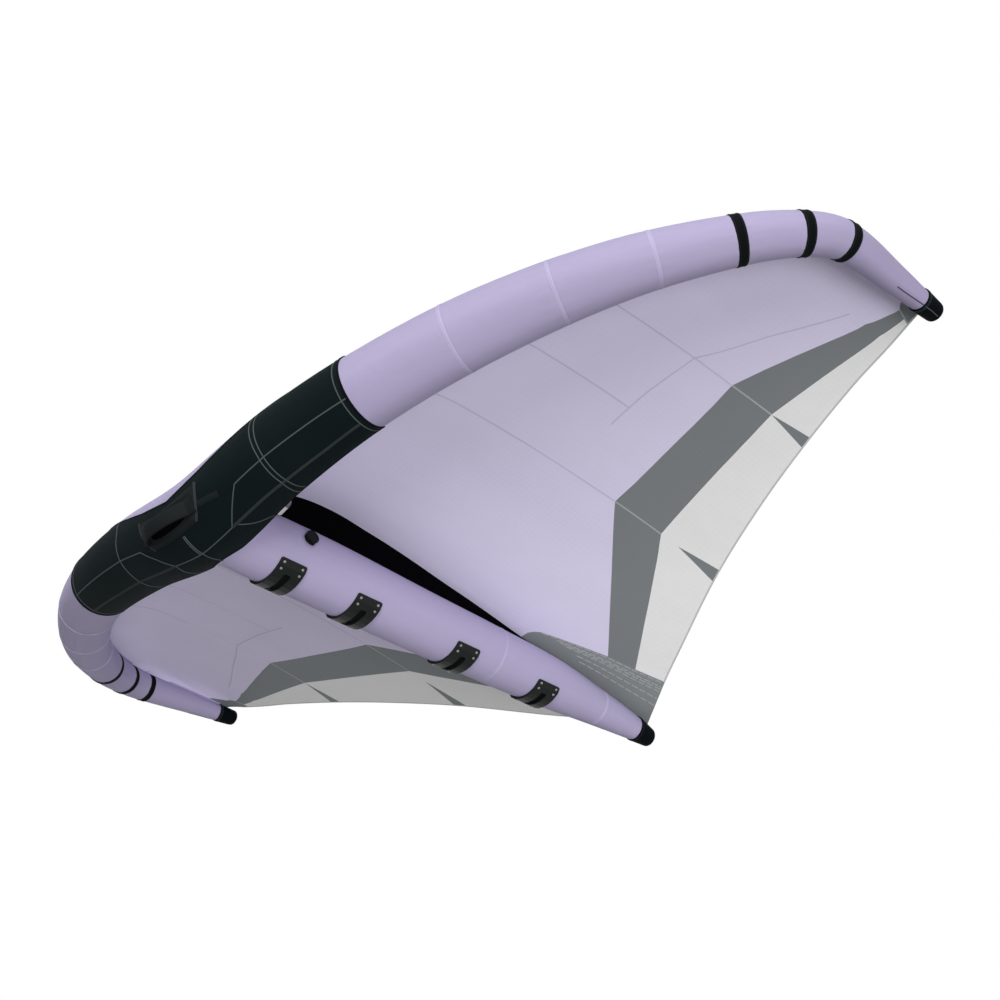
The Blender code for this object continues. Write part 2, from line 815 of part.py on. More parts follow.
def canopy_panel(name, side, ribs, low, high, columns, look):
    """A panel between two chord shares that depend on the rib, each rib given as its line and its share."""
    outer, inner = [], []
    for line, share in ribs:
        start, end = low(share), high(share)
        chord_shares = [start + (end - start) * column for column in columns]
        places = [side * line(at) for at in chord_shares]
        inner.append([canopy_point(place, at) for place, at in zip(places, chord_shares)])
        lifts = [canopy_upward(place, at) * cloth for place, at in zip(places, chord_shares)]
        outer.append([point + lift for point, lift in zip(inner[-1], lifts)])
    shell(name, outer, inner, looks[look])


def chord_gap(share):
    """Half the clearance as a share of the chord."""
    place = share * half_edge
    return clearance / 2 / (canopy_point(place, 1) - canopy_point(place, 0)).length


def front_line(gaps):
    return lambda share: between(band_edge_shares, share, 1) + gaps * chord_gap(share)


def rear_line(gaps):
    return lambda share: between(band_edge_shares, share, 2) + gaps * chord_gap(share)


def ribs_between(low, high, first=None, last=None):
    """Ribs from one edge share to another, whose end lines may be given."""
    inside = [(rib(share), share) for share in row_shares if low < share < high]
    first = first or rib(low, clearance / 2)
    last = last or rib(high, -clearance / 2)
    return [(first, low)] + inside + [(last, high)]


def nose_line(share):
    return 0.0


def tail_line(share):
    return 1.0


def canopy():
    splits = (0.0, inner_rib_share, outer_rib_share, patch_share)
    for side, word in ((-1, "left"), (1, "right")):
        every = ribs_between(0.0, patch_share)
        canopy_panel(f"canopy_main_{word}", side, every, nose_line, front_line(-1), main_column_shares,
                     "lilac_cloth")
        for k, part in enumerate(("inner", "middle", "outer")):
            low, high = splits[k], splits[k + 1]
            canopy_panel(f"canopy_band_{part}_{word}", side, ribs_between(low, high), front_line(1),
                         rear_line(-1), even_shares(band_columns), "dark_cloth")
            first = last = None
            if k > 0:
                first = wedge_line(low, wedge_starts_share[k - 1], 1, clearance / 2)
            if k < len(wedge_starts_share):
                last = wedge_line(high, wedge_starts_share[k], -1, -clearance / 2)
                wedge(f"canopy_wedge_{part}_{word}", side, high, wedge_starts_share[k])
            canopy_panel(f"canopy_trail_{part}_{word}", side, ribs_between(low, high, first, last),
                         rear_line(1), tail_line, even_shares(trail_columns), "pale_cloth")
        patch = ribs_between(patch_share, canopy_end_share)
        canopy_panel(f"tip_patch_{word}", side, patch, nose_line, tail_line, even_shares(patch_columns),
                     "dark_cloth")
        strip(f"strut_strip_{word}", side)


def canopy_rows(name, shares, row_of, look):
    """A panel from rows of places along the edge, one row for each chord share."""
    inner = [[canopy_point(place, at) for place in row_of(at)] for at in shares]
    lifts = [[canopy_upward(place, at) * cloth for place in row_of(at)] for at in shares]
    outer = [[p + lift for p, lift in zip(row, up)] for row, up in zip(inner, lifts)]
    return shell(name, outer, inner, looks[look])


def wedge(name, side, share, start):
    """A narrow dark wedge let into the rear panels."""
    begin = start + wedge_blunt_share
    shares = [begin + (1 - begin) * k / wedge_rows for k in range(wedge_rows + 1)]
    lines = [wedge_line(share, start, turn, -turn * clearance / 2) for turn in (-1, 1)]
    canopy_rows(name, shares, lambda at: [side * line(at) for line in lines], "dark_cloth")


def middle_shares():
    """Chord shares of the grid points along the canopy's middle line."""
    front, rear = band_edge_shares[0][1:]
    shares = [front * column for column in main_column_shares]
    shares += [front + (rear - front) * k / band_columns for k in range(1, band_columns + 1)]
    return shares + [rear + (1 - rear) * k / trail_columns for k in range(1, trail_columns + 1)]


def strip(name, side):
    """The stitched strip between the canopy's panels and the middle line."""
    begin = strip_shares[0][0] + strip_blunt_share
    shares = [begin] + [share for share in middle_shares() if share > begin]

    def row(at):
        return [side * beside(0.0, at, clearance / 2), side * beside(strip_edge(at), at, -clearance / 2)]

    canopy_rows(name, shares, row, "grey_cloth")


def web():
    """The web between the strut's top and the canopy's middle line."""
    line = [canopy_point(0.0, at) for at in middle_shares()]
    heights = [(point.y, point.z) for point in line]
    seat = against_the_nose(strut_ring(strut_neck_share * strut_length))[strut_sides // 4]
    crest = [(seat.y, seat.z)]
    for share in strut_row_shares:
        centre, radius = strut_at(share * strut_length)
        crest.append((centre.y, centre.z + radius))
    front = seat.y + clearance
    cap = tail_cap_start_share * strut_length - nose_to_origin
    back = min(cap, heights[-1][0]) - clearance
    places = sorted({front, back, *(y for y, _ in heights + crest if front < y < back)})
    skins = []
    for x in (web_thickness / 2, -web_thickness / 2):
        low = [Vector((x, y, between(crest, y) + clearance)) for y in places]
        high = [Vector((x, y, between(heights, y) - clearance)) for y in places]
        skins.append([list(pair) for pair in zip(low, high)])
    shell("strut_web", skins[0], skins[1], looks["black_cloth"])


# Valve


def valve_point(height, along=0.0, lift=0.0):
    """A point by its height over the strut's flat side, its place along Y and its lift across it."""
    centre, reach = strut_at(valve_place + nose_to_origin)
    tilt = math.pi / strut_sides
    outwards = Vector((math.cos(tilt), 0, math.sin(tilt)))
    upwards = Vector((-math.sin(tilt), 0, math.cos(tilt)))
    return centre + outwards * (reach * math.cos(tilt) + height) + Vector((0, along, 0)) + upwards * lift


def around_valve(height, radius, turn):
    return valve_point(height, radius * math.sin(turn), radius * math.cos(turn))


def turned(name, profile, look, sides=valve_sides):
    """A solid turned about the valve's axis from an outline of radius and height; it closes on itself, or
    starts and ends on the axis."""
    mesh = bmesh.new()
    rings = []
    for radius, height in profile:
        count = sides if radius > 0 else 1
        turns = [2 * math.pi * k / sides for k in range(count)]
        rings.append([mesh.verts.new(around_valve(height, radius, turn)) for turn in turns])
    pairs = list(zip(rings, rings[1:]))
    if profile[0][0] > 0:
        pairs.append((rings[-1], rings[0]))
    for low, high in pairs:
        for k in range(sides):
            bottom = [low[step % len(low)] for step in (k, k + 1)]
            top = [high[step % len(high)] for step in (k + 1, k)]
            corners = list(dict.fromkeys(bottom + top))
            if len(low) > 1 or len(high) > 1:
                mesh.faces.new(corners)
    return finished(name, mesh, looks[look])


def block(name, low, high, look):
    """A box between two corners, each given as height over the strut, place along Y and lift."""
    mesh = bmesh.new()
    heights, places, lifts = zip(low, high)
    corners = [mesh.verts.new(valve_point(h, p, l)) for h in heights for p in places for l in lifts]
    for quad in ((0, 1, 3, 2), (4, 6, 7, 5), (0, 4, 5, 1), (2, 3, 7, 6), (0, 2, 6, 4), (1, 5, 7, 3)):
        mesh.faces.new([corners[k] for k in quad])
    return finished(name, mesh, looks[look])


def rod_along_y(name, height, drop, radius, length, look):
    """A rod parallel to Y, at a height over the strut and a drop below the valve's axis."""
    poles = [valve_point(height, along, -drop) for along in (-length / 2, length / 2)]
    return closed_tube(name, [round_ring(pole, radius, hinge_sides) for pole in poles], poles, looks[look])


def valve_cutter(name, radius):
    deep = casing_wall + flange_drop() + cut_overrun
    return turned(name, [(0, -deep), (radius, -deep), (radius, cut_overrun), (0, cut_overrun)], "bladder")


def flange_drop():
    """How far the strut's wall falls away from a flat flange inside it."""
    reach = strut_at(valve_place + nose_to_origin)[1] - casing_wall
    half_side = reach * math.sin(math.pi / strut_sides)
    return (flange_radius - half_side) * math.tan(2 * math.pi / strut_sides)


def valve():
    under = -(casing_wall + flange_drop() + clearance)
    foot = under - flange_thickness
    lip = clearance * 2
    base = turned("valve_base", [
        (bore_radius, foot), (flange_radius, foot), (flange_radius, under), (neck_radius, under),
        (neck_radius, lip), (rim_radius, lip), (rim_radius, rim_height), (bore_radius, rim_height),
    ], "black_plastic")
    lid_low = rim_height + 2 * (seal_wire + clearance)
    lid_high = lid_low + lid_thickness
    axis_height = (lid_low + lid_high) / 2
    axis_drop = lid_radius + knuckle_radius + pin_clearance
    side = knuckle_length / 2 + pin_clearance
    for sign in (-1, 1):
        near, far = sign * side, sign * (side + lug_thickness)
        y_low, y_high = min(near, far), max(near, far)
        arm = block("lug_arm", (rim_height / 2, y_low, -axis_drop - knuckle_radius),
                    (rim_height * lug_top_share, y_high, -(bore_radius + rim_radius) / 2), "black_plastic")
        post = block("lug_post", (rim_height / 2, y_low, -axis_drop - knuckle_radius),
                     (axis_height + lug_height, y_high, -axis_drop + knuckle_radius), "black_plastic")
        combined(base, arm, "UNION")
        combined(base, post, "UNION")
    length = 2 * (side + lug_thickness / 2)
    pin = rod_along_y("hinge_pin", axis_height, axis_drop, pin_radius, length, "black_plastic")
    combined(base, pin, "UNION")

    torus = []
    for k in range(seal_sides):
        turn = 2 * math.pi * k / seal_sides
        torus.append((seal_radius + seal_wire * math.cos(turn),
                      rim_height + clearance + seal_wire * (1 + math.sin(turn))))
    turned("valve_seal", torus, "black_rubber")

    plug = bore_radius - 2 * clearance
    lid = turned("valve_cap", [
        (0, rim_height - lid_plug_depth), (plug, rim_height - lid_plug_depth), (plug, lid_low),
        (lid_radius, lid_low), (lid_radius, lid_high), (0, lid_high),
    ], "black_plastic")
    knuckle = rod_along_y("knuckle", axis_height, axis_drop, knuckle_radius, knuckle_length, "black_plastic")
    strap_low = -axis_drop + pin_radius + pin_clearance * 2
    strap = block("knuckle_strap", (lid_low, -knuckle_length / 2, strap_low),
                  (lid_high, knuckle_length / 2, -lid_radius + knuckle_radius), "black_plastic")
    bore = rod_along_y("knuckle_bore", axis_height, axis_drop, pin_radius + pin_clearance,
                       knuckle_length + cut_overrun, "black_plastic")
    combined(lid, knuckle, "UNION")
    combined(lid, strap, "UNION")
    combined(lid, bore, "DIFFERENCE")
    centred_on(lid, valve_point(axis_height, 0, -axis_drop))

    seat = lip
    ring_out = bore_radius - clearance
    ring_in = ring_out - insert_wall
    insert = turned("valve_insert", [(ring_in, seat), (ring_out, seat), (ring_out, insert_height),
                                     (ring_in, insert_height)], "grey_plastic")
    eye = stem_radius + pin_clearance
    hub_high = seat + spoke_thickness
    hub = turned("hub", [(eye, seat), (hub_radius, seat), (hub_radius, hub_high), (eye, hub_high)],
                 "grey_plastic")
    for k in range(3):
        spoke(insert, k, seat, hub_high, (eye + hub_radius) / 2, (ring_in + ring_out) / 2)
    combined(insert, hub, "UNION")
    centred_on(insert, valve_point(seat))

    disc_high = seat - clearance
    disc_low = disc_high - disc_thickness
    button_low = hub_high + disc_travel + clearance
    button_high = button_low + disc_thickness
    button = (hub_radius + stem_radius) / 2
    disc = turned("valve_disc", [
        (0, disc_low), (disc_radius, disc_low), (disc_radius, disc_high), (stem_radius, disc_high),
        (stem_radius, button_low), (button, button_low), (button, button_high), (0, button_high),
    ], "black_rubber")
    centred_on(disc, valve_point(disc_high))


def spoke(insert, number, low, high, near, far):
    """One of the three spokes that carry the hub."""
    turn = 2 * math.pi * number / 3
    half = spoke_width / 2
    outline = ((near, -half), (near, half), (far, half), (far, -half))
    mesh = bmesh.new()
    corners = []
    for height in (low, high):
        points = [valve_point(height, radius * math.sin(turn) + aside * math.cos(turn),
                              radius * math.cos(turn) - aside * math.sin(turn)) for radius, aside in outline]
        corners.append([mesh.verts.new(p) for p in points])
    bottom, top = corners
    mesh.faces.new(bottom)
    mesh.faces.new(top)
    for k in range(4):
        mesh.faces.new((bottom[k], bottom[(k + 1) % 4], top[(k + 1) % 4], top[k]))
    combined(insert, finished(f"spoke_{number + 1}", mesh, looks["grey_plastic"]), "UNION")


# Values worked out from the sizes
underside_height = plate_thickness + clearance
stations = edge_stations()
edge_places = [place for place, _, _ in stations]
edge_axes = [[centre[k] for _, centre, _ in stations] for k in range(3)]
edge_radii = [radius for _, _, radius in stations]
half_edge = edge_places[-1]

clear_scene()
looks = {
    "lilac_cloth": material("lilac_cloth", (0.48, 0.42, 0.64), 0.6),
    "dark_cloth": material("dark_cloth", (0.16, 0.19, 0.20), 0.65),
    "pale_cloth": material("pale_cloth", (0.72, 0.72, 0.72), 0.6),
    "grey_cloth": material("grey_cloth", (0.20, 0.22, 0.23), 0.7),
    "black_cloth": material("black_cloth", (0.010, 0.014, 0.018), 0.7),
    "black_plastic": material("black_plastic", (0.015, 0.018, 0.018), 0.45),
    "grey_plastic": material("grey_plastic", (0.20, 0.20, 0.21), 0.4),
    "black_rubber": material("black_rubber", (0.012, 0.013, 0.013), 0.8),
    "bladder": material("bladder", (0.85, 0.86, 0.84), 0.3),
}
leading_edge()
nose_panel()
front_handle()
strut()
handle_plates()
bladders()
canopy()
web()
valve()
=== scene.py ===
"""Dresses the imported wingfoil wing: round cloth tubes, curved canopy, stitched panel and padded handle."""
from math import asin, copysign, cos, degrees, exp, hypot, isclose, pi, radians, sin, sqrt, tau

import bmesh
import bpy
from mathutils import Matrix, Vector, noise


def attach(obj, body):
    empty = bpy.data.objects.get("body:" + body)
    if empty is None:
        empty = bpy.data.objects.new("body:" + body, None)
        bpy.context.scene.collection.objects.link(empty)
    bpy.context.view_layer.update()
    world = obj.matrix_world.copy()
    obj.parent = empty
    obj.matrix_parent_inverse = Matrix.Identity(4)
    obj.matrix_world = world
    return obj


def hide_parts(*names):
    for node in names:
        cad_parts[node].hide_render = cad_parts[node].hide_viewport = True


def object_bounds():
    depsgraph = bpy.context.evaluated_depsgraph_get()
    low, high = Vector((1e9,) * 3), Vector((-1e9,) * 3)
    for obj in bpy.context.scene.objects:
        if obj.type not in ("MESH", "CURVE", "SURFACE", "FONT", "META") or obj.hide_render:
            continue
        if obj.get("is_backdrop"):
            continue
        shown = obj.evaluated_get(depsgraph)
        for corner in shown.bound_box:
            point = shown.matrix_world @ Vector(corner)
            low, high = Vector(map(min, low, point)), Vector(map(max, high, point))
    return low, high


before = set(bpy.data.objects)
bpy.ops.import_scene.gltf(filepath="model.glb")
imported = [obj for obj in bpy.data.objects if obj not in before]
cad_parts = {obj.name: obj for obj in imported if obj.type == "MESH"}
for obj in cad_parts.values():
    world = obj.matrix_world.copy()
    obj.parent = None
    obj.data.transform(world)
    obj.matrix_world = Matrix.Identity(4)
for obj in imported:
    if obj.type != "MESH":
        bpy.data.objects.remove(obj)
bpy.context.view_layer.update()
scene = bpy.context.scene

# Main sizes of the CAD source, in metres. The canopy's tables and BANDS are nearer to the photo than there.
HALF_SPAN, EDGE_SWEEP, EDGE_RISE, NOSE_R = 1.6, 1.099, 0.391, 0.121
NOSE = Vector((0.0, -0.2205, 0.1042))
# Half the leading edge: shares of the half span, the sweep, the rise and the nose radius
STATIONS = ((0.0, 0.0, 0.0, 1.0), (0.2, 0.004, 0.124, 0.917), (0.396, 0.039, 0.253, 0.821),
            (0.594, 0.135, 0.452, 0.744), (0.781, 0.277, 0.647, 0.626), (0.916, 0.441, 0.821, 0.522),
            (0.98, 0.56, 0.923, 0.463), (1.005, 0.654, 0.973, 0.42), (1.004, 0.846, 0.992, 0.307),
            (1.0, 1.0, 1.0, 0.208))
# Edge shares, of the length of half the leading edge
PANEL_END, SEAMS, BANDS, CAP_START = 0.279, (0.399, 0.518, 0.623), (0.712, 0.784, 0.836), 0.971
SEGMENTS = (("inner", 0.279, 0.518), ("shoulder", 0.518, 0.712), ("bend", 0.712, 0.784),
            ("curl", 0.784, 0.836), ("tip", 0.836, 0.985))
BOTH = ((-1, "left"), (1, "right"))
# Radius of the round cloth, as a share of the many-sided CAD tube's
ROUND = 0.994
# Strut: shares of its length, radius and lift
STRUT_LENGTH, STRUT_R, STRUT_LIFT, UNDERSIDE = 1.719, 0.098, 0.031, 0.0078
STRUT = ((0.0, 0.945, 0.0), (0.036, 0.96, 0.0), (0.144, 0.99, 0.0), (0.24, 0.99, 0.0), (0.414, 0.94, 0.0),
         (0.589, 0.888, 0.1), (0.734, 0.796, 0.35), (0.85, 0.592, 0.71), (0.943, 0.408, 0.94),
         (1.0, 0.245, 1.0))
NECK, STRUT_START, STRUT_END, STRUT_SEAMS = 0.06, 0.085, 0.965, (0.589, 0.85)
TAIL_CAP_START, TAIL_CAP_END = 0.95, 0.987
# Trailing edge: span share, and shares of its length behind the nose and of its rise
TRAIL_LENGTH, TRAIL_RISE, TRAIL_LIFT = 1.697, 0.395, 0.004
TRAIL = ((0.0, 1.0, 0.0), (0.113, 0.939, 0.132), (0.188, 0.902, 0.215), (0.366, 0.82, 0.433),
         (0.531, 0.759, 0.615), (0.679, 0.715, 0.77), (0.813, 0.682, 0.901), (0.9, 0.666, 0.981),
         (0.969, 0.652, 1.052), (1.0, 0.646, 1.084))
# Edge share of a rib, and the span share at which it meets the trailing edge
RIB_ENDS = ((0.0, 0.0), (0.262, 0.366), (0.498, 0.679), (0.714, 0.9), (0.838, 0.945), (0.925, 0.96),
            (0.985, 0.969))
# Edge share, and the chord shares of the dark band's two edges
BAND_EDGES = ((0.0, 0.884, 0.945), (0.058, 0.854, 0.927), (0.085, 0.837, 0.918), (0.11, 0.819, 0.908),
              (0.14, 0.795, 0.894), (0.17, 0.77, 0.88), (0.2, 0.743, 0.864), (0.23, 0.714, 0.847),
              (0.262, 0.682, 0.823), (0.3, 0.692, 0.83), (0.34, 0.698, 0.837), (0.38, 0.702, 0.843),
              (0.42, 0.705, 0.849), (0.46, 0.704, 0.853), (0.498, 0.698, 0.855), (0.55, 0.728, 0.873),
              (0.6, 0.762, 0.891), (0.65, 0.797, 0.91), (0.7, 0.834, 0.928), (0.74, 0.852, 0.936),
              (0.78, 0.859, 0.941), (0.82, 0.864, 0.945), (0.85, 0.858, 0.944), (0.88, 0.839, 0.939),
              (0.985, 0.7, 0.88))
# Camber: height and place of its crest as chord shares, and the power with which it falls behind that
MIDDLE_CAMBER, RIB_CAMBER = (0.0855, 0.25, 1.25), (0.075, 0.25, 2.0)
# Beyond the first of these, an edge share, the crest is lower by the second times what lies beyond
FLATTER_FROM, FLATTER = 0.6, 0.11
# Chord share, and how far the web holds the canopy's middle line down, in chord shares
HELD = ((0.0, 0.0), (0.14, 0.0004), (0.2, 0.0035), (0.27, 0.006), (0.34, 0.0044), (0.4, 0.0042),
        (0.46, 0.005), (0.54, 0.0042), (0.6, 0.0045), (0.66, 0.005), (0.76, 0.003), (0.86, 0.001), (1.0, 0.0))
INNER_RIB, OUTER_RIB, TIP_START, PATCH, CANOPY_END = 0.262, 0.498, 0.78, 0.85, 0.985
# Chord share, and the edge share of the tip patch's inner side
PATCH_SIDE = ((0.0, 0.945), (0.35, 0.938), (0.6, 0.925), (0.7, 0.908), (0.8, 0.872), (0.86, 0.85),
              (1.0, 0.842))
# Turn of the canopy's seam round the tube, and how far the cloth lies off the tube and off the CAD surface
CANOPY_TURN, SEAM_LIFT, CLOTH_LIFT = radians(67.5), 0.0005, 0.001
# Chord share, and the share of its width that the strip beside the strut has there
STRIP_WIDTH = 0.18
STRIP = ((0.664, 0.0), (0.666, 0.06), (0.672, 0.166), (0.682, 0.255), (0.695, 0.331), (0.717, 0.395),
         (0.74, 0.458), (0.787, 0.573), (0.852, 0.725), (0.927, 0.852), (1.0, 1.0))
# Edge share of a wedge, and the chord share at which it starts
WEDGES = ((INNER_RIB, 0.876), (OUTER_RIB, 0.855))
WEDGE_HALF = 0.023
PLATE_Y = [0.0265 + step for step in (0.0, 0.261, 0.63, 0.955)]
# Share of the nose panel's half width, and the height of its top edge above the nose's axis in nose radii
DIP = ((0.0, -0.02), (0.1, 0.08), (0.22, 0.22), (0.36, 0.47), (0.51, 0.78), (0.75, 1.25), (1.0, 1.7))
# Turns of the panel's ends and of the handle, in degrees. Turn 0 of a tube is its rear, and 90 its top.
PANEL_TOP, PANEL_LOW = 95, 317
HANDLE_TURN = radians(213.75)


# Reading the tables


def between(table, at, column=1):
    """A column of a table, in straight lines between its rows."""
    for low, high in zip(table, table[1:]):
        if at <= high[0]:
            part = (at - low[0]) / (high[0] - low[0])
            return low[column] + (high[column] - low[column]) * part
    return table[-1][column]


def smooth(places, values, at):
    """The same on a smooth curve through all the values."""
    last = len(places) - 1
    k = 0
    while k < last - 1 and at > places[k + 1]:
        k += 1

    def slope(i):
        low, high = max(i - 1, 0), min(i + 1, last)
        return (values[high] - values[low]) / (places[high] - places[low])

    step = places[k + 1] - places[k]
    t = (at - places[k]) / step
    return ((2 * t**3 - 3 * t**2 + 1) * values[k] + (t**3 - 2 * t**2 + t) * slope(k) * step
            + (3 * t**2 - 2 * t**3) * values[k + 1] + (t**3 - t**2) * slope(k + 1) * step)


def smooth_column(table, at, column=1):
    return smooth([row[0] for row in table], [row[column] for row in table], at)


def round_turns(count):
    return [tau * k / count for k in range(count)]


def spread(low, high, step):
    """Even values from low to high, about a step apart."""
    count = max(int(round((high - low) / step)), 1)
    return [low + (high - low) * k / count for k in range(count + 1)]


# Places are lengths along the leading edge, negative on the left
half_line = [(NOSE + Vector((a * HALF_SPAN, b * EDGE_SWEEP, c * EDGE_RISE)), r * NOSE_R)
             for a, b, c, r in STATIONS]
half_places = [0.0]
for (low_point, _), (high_point, _) in zip(half_line, half_line[1:]):
    half_places.append(half_places[-1] + (high_point - low_point).length)
HALF = half_places[-1]
edge_places = [-p for p in half_places[:0:-1]] + half_places
edge_line = [(Vector((-c.x, c.y, c.z)), r) for c, r in half_line[:0:-1]] + half_line
edge_axes = [[c[k] for c, _ in edge_line] for k in range(3)]
edge_radii = [r for _, r in edge_line]
EDGE_STEP, CANOPY_STEP = 0.0003, 0.002


def edge_at(place):
    """Centre, direction and radius of the leading edge."""
    def centre(at):
        return Vector([smooth(edge_places, axis, at) for axis in edge_axes])

    along = (centre(place + EDGE_STEP) - centre(place - EDGE_STEP)).normalized()
    return centre(place), along, smooth(edge_places, edge_radii, place)


def edge_frame(place):
    centre, along, radius = edge_at(place)
    rear = Vector((0, 0, 1)).cross(along).normalized()
    return centre, rear, along.cross(rear), radius


def on_edge(place, turn, lift=0.0):
    """A point of the round leading edge."""
    centre, rear, up, radius = edge_frame(place)
    return centre + (rear * cos(turn) + up * sin(turn)) * (radius * ROUND + lift)


def outwards(turn):
    return Vector((cos(turn), 0, sin(turn)))


def strut_at(place):
    """Centre and radius of the strut at a length behind the nose."""
    at = min(place / STRUT_LENGTH, 1)
    radius = STRUT_R * smooth_column(STRUT, at)
    lift = STRUT_LIFT * smooth_column(STRUT, at, 2)
    return Vector((0, place + NOSE.y, UNDERSIDE + lift + radius)), radius


def on_strut(y, turn, lift=0.0):
    """A point of the round strut. Turn 0 is its valve side, and a quarter turn its top."""
    centre, radius = strut_at(y - NOSE.y)
    return centre + outwards(turn) * (radius * ROUND + lift)


def strut_y(share):
    return share * STRUT_LENGTH + NOSE.y


def trail_point(share):
    back = TRAIL_LENGTH * smooth_column(TRAIL, share)
    rise = TRAIL_LIFT + TRAIL_RISE * smooth_column(TRAIL, share, 2)
    return NOSE + Vector((share * HALF_SPAN, back, rise))


def canopy_point(place, at):
    """The middle of the cloth, at a place on the leading edge and a chord share."""
    nose = on_edge(place, CANOPY_TURN, SEAM_LIFT)
    tail = trail_point(between(RIB_ENDS, abs(place) / HALF))
    tail.x *= 1 if place > 0 else -1
    away = min(abs(place) / (INNER_RIB * HALF), 1)
    height, crest, fall = (a + (b - a) * away for a, b in zip(MIDDLE_CAMBER, RIB_CAMBER))
    height -= FLATTER * max(abs(place) / HALF - FLATTER_FROM, 0)
    drop = (1 - at / crest) ** 2 if at < crest else ((at - crest) / (1 - crest)) ** fall
    held = (1 - away) * smooth_column(HELD, at)
    chord = tail - nose
    return nose + chord * at + Vector((0, 0, (height * (1 - drop) - held) * chord.length + CLOTH_LIFT))


def canopy_up(place, at):
    low, high = max(at - CANOPY_STEP, 0), min(at + CANOPY_STEP, 1)
    back = canopy_point(place, high) - canopy_point(place, low)
    across = canopy_point(place + CANOPY_STEP, at) - canopy_point(place - CANOPY_STEP, at)
    return across.cross(back).normalized()


# Materials

# Noise scales per metre: large and small blotches, wrinkles, grain, and streaks along and across the cloth
BLOTCH, SPECK, CREASE, GRAIN, STREAK = 3.2, 190.0, 7.0, 650.0, (1.2, 38.0, 1.0)
SPECK_SHARE, TONE_LOW, TONE_HIGH, ROUGH_SPREAD = 0.25, 0.3, 0.7, 0.07
# Ripstop: where in a square its thread starts, and how strongly and how much lighter it shows
RIP_EDGE, RIP_MIX, RIP_GAIN, RIP_LIGHT = 0.9, 0.3, 1.1, 0.004
looks = {}


def shade(name, colour, roughness, specular, mottle, weave=0.0, pitch=0.0012, wrinkle=0.0, metal=0.0,
          grain=0.0, ripstop=0.0, streak=0.0):
    """Adds cloth, rubber, plastic or metal to looks, made of nodes.

    In metres: weave, wrinkle and grain are heights, pitch a thread's width, ripstop a square's. Mottle is how
    much the tone varies, and streak how much of that runs in lines.
    """
    made = bpy.data.materials.new(name)
    made.use_nodes = True
    tree = made.node_tree
    nodes, links = tree.nodes, tree.links
    shader = nodes["Principled BSDF"]
    shader.inputs["Metallic"].default_value = metal
    shader.inputs["Specular IOR Level"].default_value = specular
    where = nodes.new("ShaderNodeTexCoord")

    def node(kind, **values):
        fresh = nodes.new("ShaderNode" + kind)
        for key, value in values.items():
            if key in fresh.inputs:
                fresh.inputs[key].default_value = value
            else:
                setattr(fresh, key, value)
        return fresh

    def maths(operation, a, b=0):
        fresh = node("Math", operation=operation)
        for socket, value in zip(fresh.inputs, (a, b)):
            if isinstance(value, (int, float)):
                socket.default_value = value
            else:
                links.new(value, socket)
        return fresh.outputs[0]

    def cloud(scale, detail, stretch=(1, 1, 1), source="Object"):
        placed = node("Mapping")
        placed.inputs["Scale"].default_value = stretch
        links.new(where.outputs[source], placed.inputs["Vector"])
        fresh = node("TexNoise", Scale=scale, Detail=detail)
        links.new(placed.outputs["Vector"], fresh.inputs["Vector"])
        return fresh.outputs["Fac"]

    def cloth_axes():
        split = node("SeparateXYZ")
        links.new(where.outputs["UV"], split.inputs["Vector"])
        return [split.outputs[axis] for axis in "XY"]

    def blend_tones(a, b, share):
        return maths("ADD", maths("MULTIPLY", a, 1 - share), maths("MULTIPLY", b, share))

    fine = cloud(SPECK, 2.0)
    tone = blend_tones(cloud(BLOTCH, 4.0), fine, SPECK_SHARE)
    if streak:
        tone = blend_tones(tone, cloud(1.0, 3.0, STREAK, "UV"), streak)
    ramp = node("ValToRGB")
    stops = ramp.color_ramp.elements
    for stop, position, gain in zip(stops, (TONE_LOW, TONE_HIGH), (1 - mottle, 1 + mottle)):
        stop.position = position
        stop.color = (*[min(c * gain, 1) for c in colour], 1)
    links.new(tone, ramp.inputs["Fac"])
    tint = ramp.outputs["Color"]
    if ripstop:
        waves = [maths("PINGPONG", maths("MULTIPLY", axis, 1 / ripstop), 1.0) for axis in cloth_axes()]
        grid = maths("MAXIMUM", *[maths("GREATER_THAN", wave, RIP_EDGE) for wave in waves])
        mix = node("Mix", data_type="RGBA")
        links.new(maths("MULTIPLY", grid, RIP_MIX), mix.inputs["Factor"])
        links.new(tint, mix.inputs["A"])
        mix.inputs["B"].default_value = (*[min(c * RIP_GAIN + RIP_LIGHT, 1) for c in colour], 1)
        tint = mix.outputs["Result"]
    links.new(tint, shader.inputs["Base Color"])
    rough = node("MapRange")
    rough.inputs["To Min"].default_value = roughness - ROUGH_SPREAD
    rough.inputs["To Max"].default_value = roughness + ROUGH_SPREAD
    links.new(fine, rough.inputs["Value"])
    links.new(rough.outputs["Result"], shader.inputs["Roughness"])

    bumps = []
    if wrinkle:
        bumps.append((cloud(CREASE, 3.0, (1.0, 0.35, 1.0)), wrinkle, 1.0))
    if weave:
        threads = [maths("SINE", maths("MULTIPLY", axis, tau / pitch)) for axis in cloth_axes()]
        bumps.append((maths("MULTIPLY", *threads), weave, 0.6))
    if grain:
        bumps.append((cloud(GRAIN, 2.0), grain, 0.7))
    normal = None
    for height, distance, strength in bumps:
        fresh = node("Bump", Distance=distance, Strength=strength)
        links.new(height, fresh.inputs["Height"])
        if normal:
            links.new(normal, fresh.inputs["Normal"])
        normal = fresh.outputs["Normal"]
    links.new(normal, shader.inputs["Normal"])
    looks[name] = made


